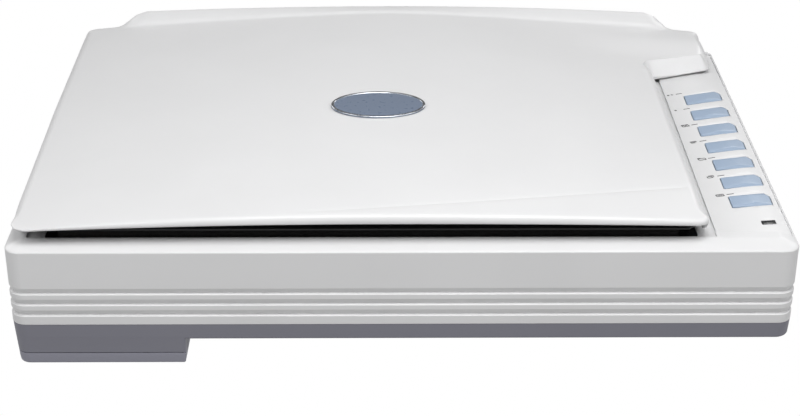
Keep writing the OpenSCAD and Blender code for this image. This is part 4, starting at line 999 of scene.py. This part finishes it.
# ---------------- pad under the lid
def foam_pad():
    x0, x1 = WINDOW_X - 232, WINDOW_X + 232
    y0, y1 = WINDOW_Y - 160, WINDOW_Y + 156

    def bulge(x, y):
        edge = min(x - x0, x1 - x, y - y0, y1 - y)
        return 105.85 - 0.25 * math.exp(-max(edge, 0) / 6)

    o = rounded([(x0, y0, 5), (x1, y0, 5), (x1, y1, 5), (x0, y1, 5)], 6, 8.0)
    nn = normals(o)
    s = Shell()
    # the pad's side, as (drawn in by, height), a little uneven as cut foam is
    side = [(1.4, 99.25), (0.5, 99.6), (0.1, 100.4), (0.25, 101.6), (0.45, 102.6), (0.25, 103.8),
            (0.1, 104.8), (0.5, 105.5)]
    rings = []
    for k, (d, z) in enumerate(side):
        wave = [0.18 * math.sin(0.31 * i + k) * math.sin(0.07 * i + 2 * k) for i in range(len(o))]
        rings.append(s.ring([(*(p - (d + abs(w)) * m), z) for p, m, w in zip(o, nn, wave)]))
    s.bands(*rings)
    xs, ys = np.arange(x0 + 6, x1 - 4, 12.0), np.arange(y0 + 6, y1 - 4, 12.0)
    s.fill([rings[-1]], bulge, xs, ys)
    s.fill([rings[0]], lambda x, y: side[0][1], xs, ys, up=False)
    piece("foam_backing", s.data(), "lid", "foam", ["foam_pad"], angle=50, weighted=False)


def document_mat():
    o = oblong((WINDOW_X - 234, WINDOW_Y - 162), (WINDOW_X + 234, WINDOW_Y + 158), 4, 8)
    nn = normals(o)
    s = Shell()
    side = [(0.25, 98.5), (0.06, 98.58), (0.0, 98.75), (0.0, 98.92), (0.06, 99.05), (0.2, 99.1)]
    rings = [s.ring([(*p, z) for p in o - d * nn]) for d, z in side]
    s.bands(*rings)
    s.fill([rings[-1]], lambda x, y: side[-1][1])
    s.fill([rings[0]], lambda x, y: side[0][1], up=False)
    piece("backing_sheet", s.data(), "lid", "mat_white", ["document_mat"])


# ---------------- belt, springs, cable
def belt():
    step, tooth, z0, z1 = 0.5, 4, 41, 47  # a tooth and its gap take four steps
    span = IDLER_X - DRIVE_X
    n_line, n_arc = int(span / step), int(math.pi * BELT_R / step)
    path = []  # points of the belt's middle line, each with its outward direction
    for s, x0, x1 in ((1, DRIVE_X, IDLER_X), (-1, IDLER_X, DRIVE_X)):
        path += [((x0 + s * span * k / n_line, BELT_Y - s * BELT_R), (0, -s)) for k in range(n_line)]
        for a in [math.pi * k / n_arc for k in range(n_arc)]:
            out = s * math.sin(a), -s * math.cos(a)
            path.append(((x1 + BELT_R * out[0], BELT_Y + BELT_R * out[1]), out))
    outer = [(x + nx * 1.2, y + ny * 1.2) for (x, y), (nx, ny) in path]
    inner = []
    for k, ((x, y), (nx, ny)) in enumerate(path):
        d = 0.05 if k % tooth < 2 else 0.6
        inner.append((x + nx * d, y + ny * d))
    s = Shell()
    rings = [s.ring([(*p, z) for p in line])
             for line, z in ((outer, z0), (outer, z1), (inner, z1), (inner, z0))]
    s.bands(*rings, rings[0])
    piece("toothed_belt", s.data(), "base", "belt_black", ["drive_belt"])


def belt_spring():
    """Round wire wound about an axis along X."""
    radius, wire, pitch, turns, steps, sides = 2.4, 0.4, 1.6, 11, 28, 10
    x, y, z = IDLER_X - 26.5, BELT_Y, 32
    rings = []
    for i in range(turns * steps + 1):
        a = 2 * math.pi * i / steps
        ring = []
        for b in [2 * math.pi * j / sides for j in range(sides)]:
            r, along = radius + wire * math.cos(b), pitch * i / steps + wire * math.sin(b)
            ring.append((x + along, y + r * math.sin(a), z - r * math.cos(a)))
        rings.append(ring)
    piece("belt_spring", oriented(*loft(rings)), "base", "steel", ["tension_spring"], angle=60,
          weighted=False)


def ribbon():
    """Flat cable from the board along the floor to the carriage at home, ribbed over its wires."""
    y0, width, wires, thick = 95.2, 23.6, 24, 0.1
    path = [(245.7, 37.4), (245.7, 31), (245.7, 26.6), (245.2, 25.8), (243.8, 25.45)]
    path += [(x, 25.45) for x in np.linspace(240, -194, 110)]
    path += [(-196.2, 25.7), (-197.6, 26.5), (-198.3, 27.8), (-198.5, 29.5), (-198.5, 36), (-198.5, 44),
             (-198.5, 52), (-198.5, 59.9)]
    p = np.array(path)
    d = np.gradient(p, axis=0)
    nn = np.stack([-d[:, 1], d[:, 0]], 1) / np.linalg.norm(d, axis=1)[:, None]
    section = [(y0 + width * k / (wires * 3), 0.2 if k % 3 == 1 else thick) for k in range(wires * 3 + 1)]
    rings = []
    for q, m in zip(p, nn):
        up = [(q[0] + m[0] * h, y, q[1] + m[1] * h) for y, h in section]
        down = [(q[0] - m[0] * thick, y, q[1] - m[1] * thick) for y, _ in section[::-1]]
        rings.append(up + down)
    ob = piece("flat_cable", oriented(*loft(rings)), None, "cable_white", ["ribbon_cable"], angle=35,
               weighted=False)
    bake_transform(ob)


for build in (lower_housing, foot_cover, rubber_feet, upper_housing, bezel, side_panel, keys, status_window,
              marks, lid, badge, foam_pad, document_mat, belt, ribbon, belt_spring):
    build()

# ---------------- CAD nodes that stay: finish and edges
for ob in NODES.values():
    if ob.hide_render:
        continue
    for i, slot in enumerate([m.name.split(".")[0] for m in ob.data.materials]):
        ob.data.materials[i] = FINISH[slot]
    weld = ob.modifiers.new("weld", "WELD")
    weld.merge_threshold = 0.000002
    edge = ob.modifiers.new("edge", "BEVEL")
    edge.width, edge.segments, edge.limit_method = 0.00018, 2, "ANGLE"
    edge.angle_limit = math.radians(40)
    ob.modifiers.new("normals", "WEIGHTED_NORMAL").keep_sharp = True

# ---------------- stage, light, camera: metres from here on
scene = bpy.context.scene
me = bpy.data.meshes.new("floor")
me.from_pydata([(-6, -6, 0), (6, -6, 0), (6, 6, 0), (-6, 6, 0)], [], [(0, 1, 2, 3)])
floor = bpy.data.objects.new("floor", me)
scene.collection.objects.link(floor)
me.materials.append(bpy.data.materials.new("floor_pale"))


def seen_white(t, dim, white):
    """Lets the camera see the shader white, at full strength, where all other rays see dim."""
    ray = node(t, "ShaderNodeLightPath")
    white.inputs["Color"].default_value = (1, 1, 1, 1)
    return blended(t, ray.outputs["Is Camera Ray"], dim.outputs[0], white.outputs[0])


me.materials[0].use_nodes = True
ground = me.materials[0].node_tree
upper_side = seen_white(ground, node(ground, "ShaderNodeEmission", Strength=0.58),
                        node(ground, "ShaderNodeEmission", Strength=1.0))
# clear from below, so that the underside of the object can be seen
both_sides = blended(ground, node(ground, "ShaderNodeNewGeometry").outputs["Backfacing"], upper_side,
                     node(ground, "ShaderNodeBsdfTransparent").outputs["BSDF"])
ground.links.new(both_sides, ground.nodes["Material Output"].inputs["Surface"])
world = bpy.data.worlds.new("studio")
world.use_nodes = True
sky = world.node_tree
sky.nodes["Background"].inputs["Color"].default_value = (1, 1, 1, 1)
sky.nodes["Background"].inputs["Strength"].default_value = 0.15
backdrop = seen_white(sky, sky.nodes["Background"], node(sky, "ShaderNodeBackground", Strength=1.0))
sky.links.new(backdrop, sky.nodes["World Output"].inputs["Surface"])
scene.world = world


def softbox(name, at, size, power, aim=(0, 0, 0.1)):
    light = bpy.data.lights.new(name, "AREA")
    light.shape, light.size, light.size_y, light.energy = "RECTANGLE", size[0], size[1], power
    ob = bpy.data.objects.new(name, light)
    ob.location = at
    ob.rotation_euler = (Vector(aim) - Vector(at)).to_track_quat("-Z", "Y").to_euler()
    scene.collection.objects.link(ob)


softbox("key", (0.1, -0.5, 1.2), (0.8, 0.5), 11.2)
softbox("left", (-1.3, -0.9, 1.2), (1.0, 1.0), 9.8)
softbox("right", (1.4, -0.8, 1.2), (1.0, 1.0), 9.7)
softbox("front", (0.0, -2.2, 0.6), (2.0, 0.8), 1.5)
softbox("back_left", (-1.488, 1.249, 1.163), (0.75, 0.36), 6.0, (0, 0, 0.13))
softbox("back_right", (1.249, 1.488, 1.163), (0.75, 0.36), 6.0, (0, 0, 0.13))

camera = bpy.data.cameras.new("camera")
camera.lens, camera.sensor_width, camera.shift_x, camera.shift_y = 76.569, 36.0, -0.0006, -0.0097
view = bpy.data.objects.new("camera", camera)
PAN, DOWN, ROLL = -0.6351, 26.7647, 0.1775
turn = [Matrix.Rotation(math.radians(a), 4, axis)
        for a, axis in ((PAN, "Z"), (90 - DOWN, "X"), (ROLL, "Z"))]
view.matrix_world = Matrix.Translation((-0.01385, -1.2826, 0.6838)) @ turn[0] @ turn[1] @ turn[2]
scene.collection.objects.link(view)
scene.camera = view
scene.view_settings.view_transform = "Standard"
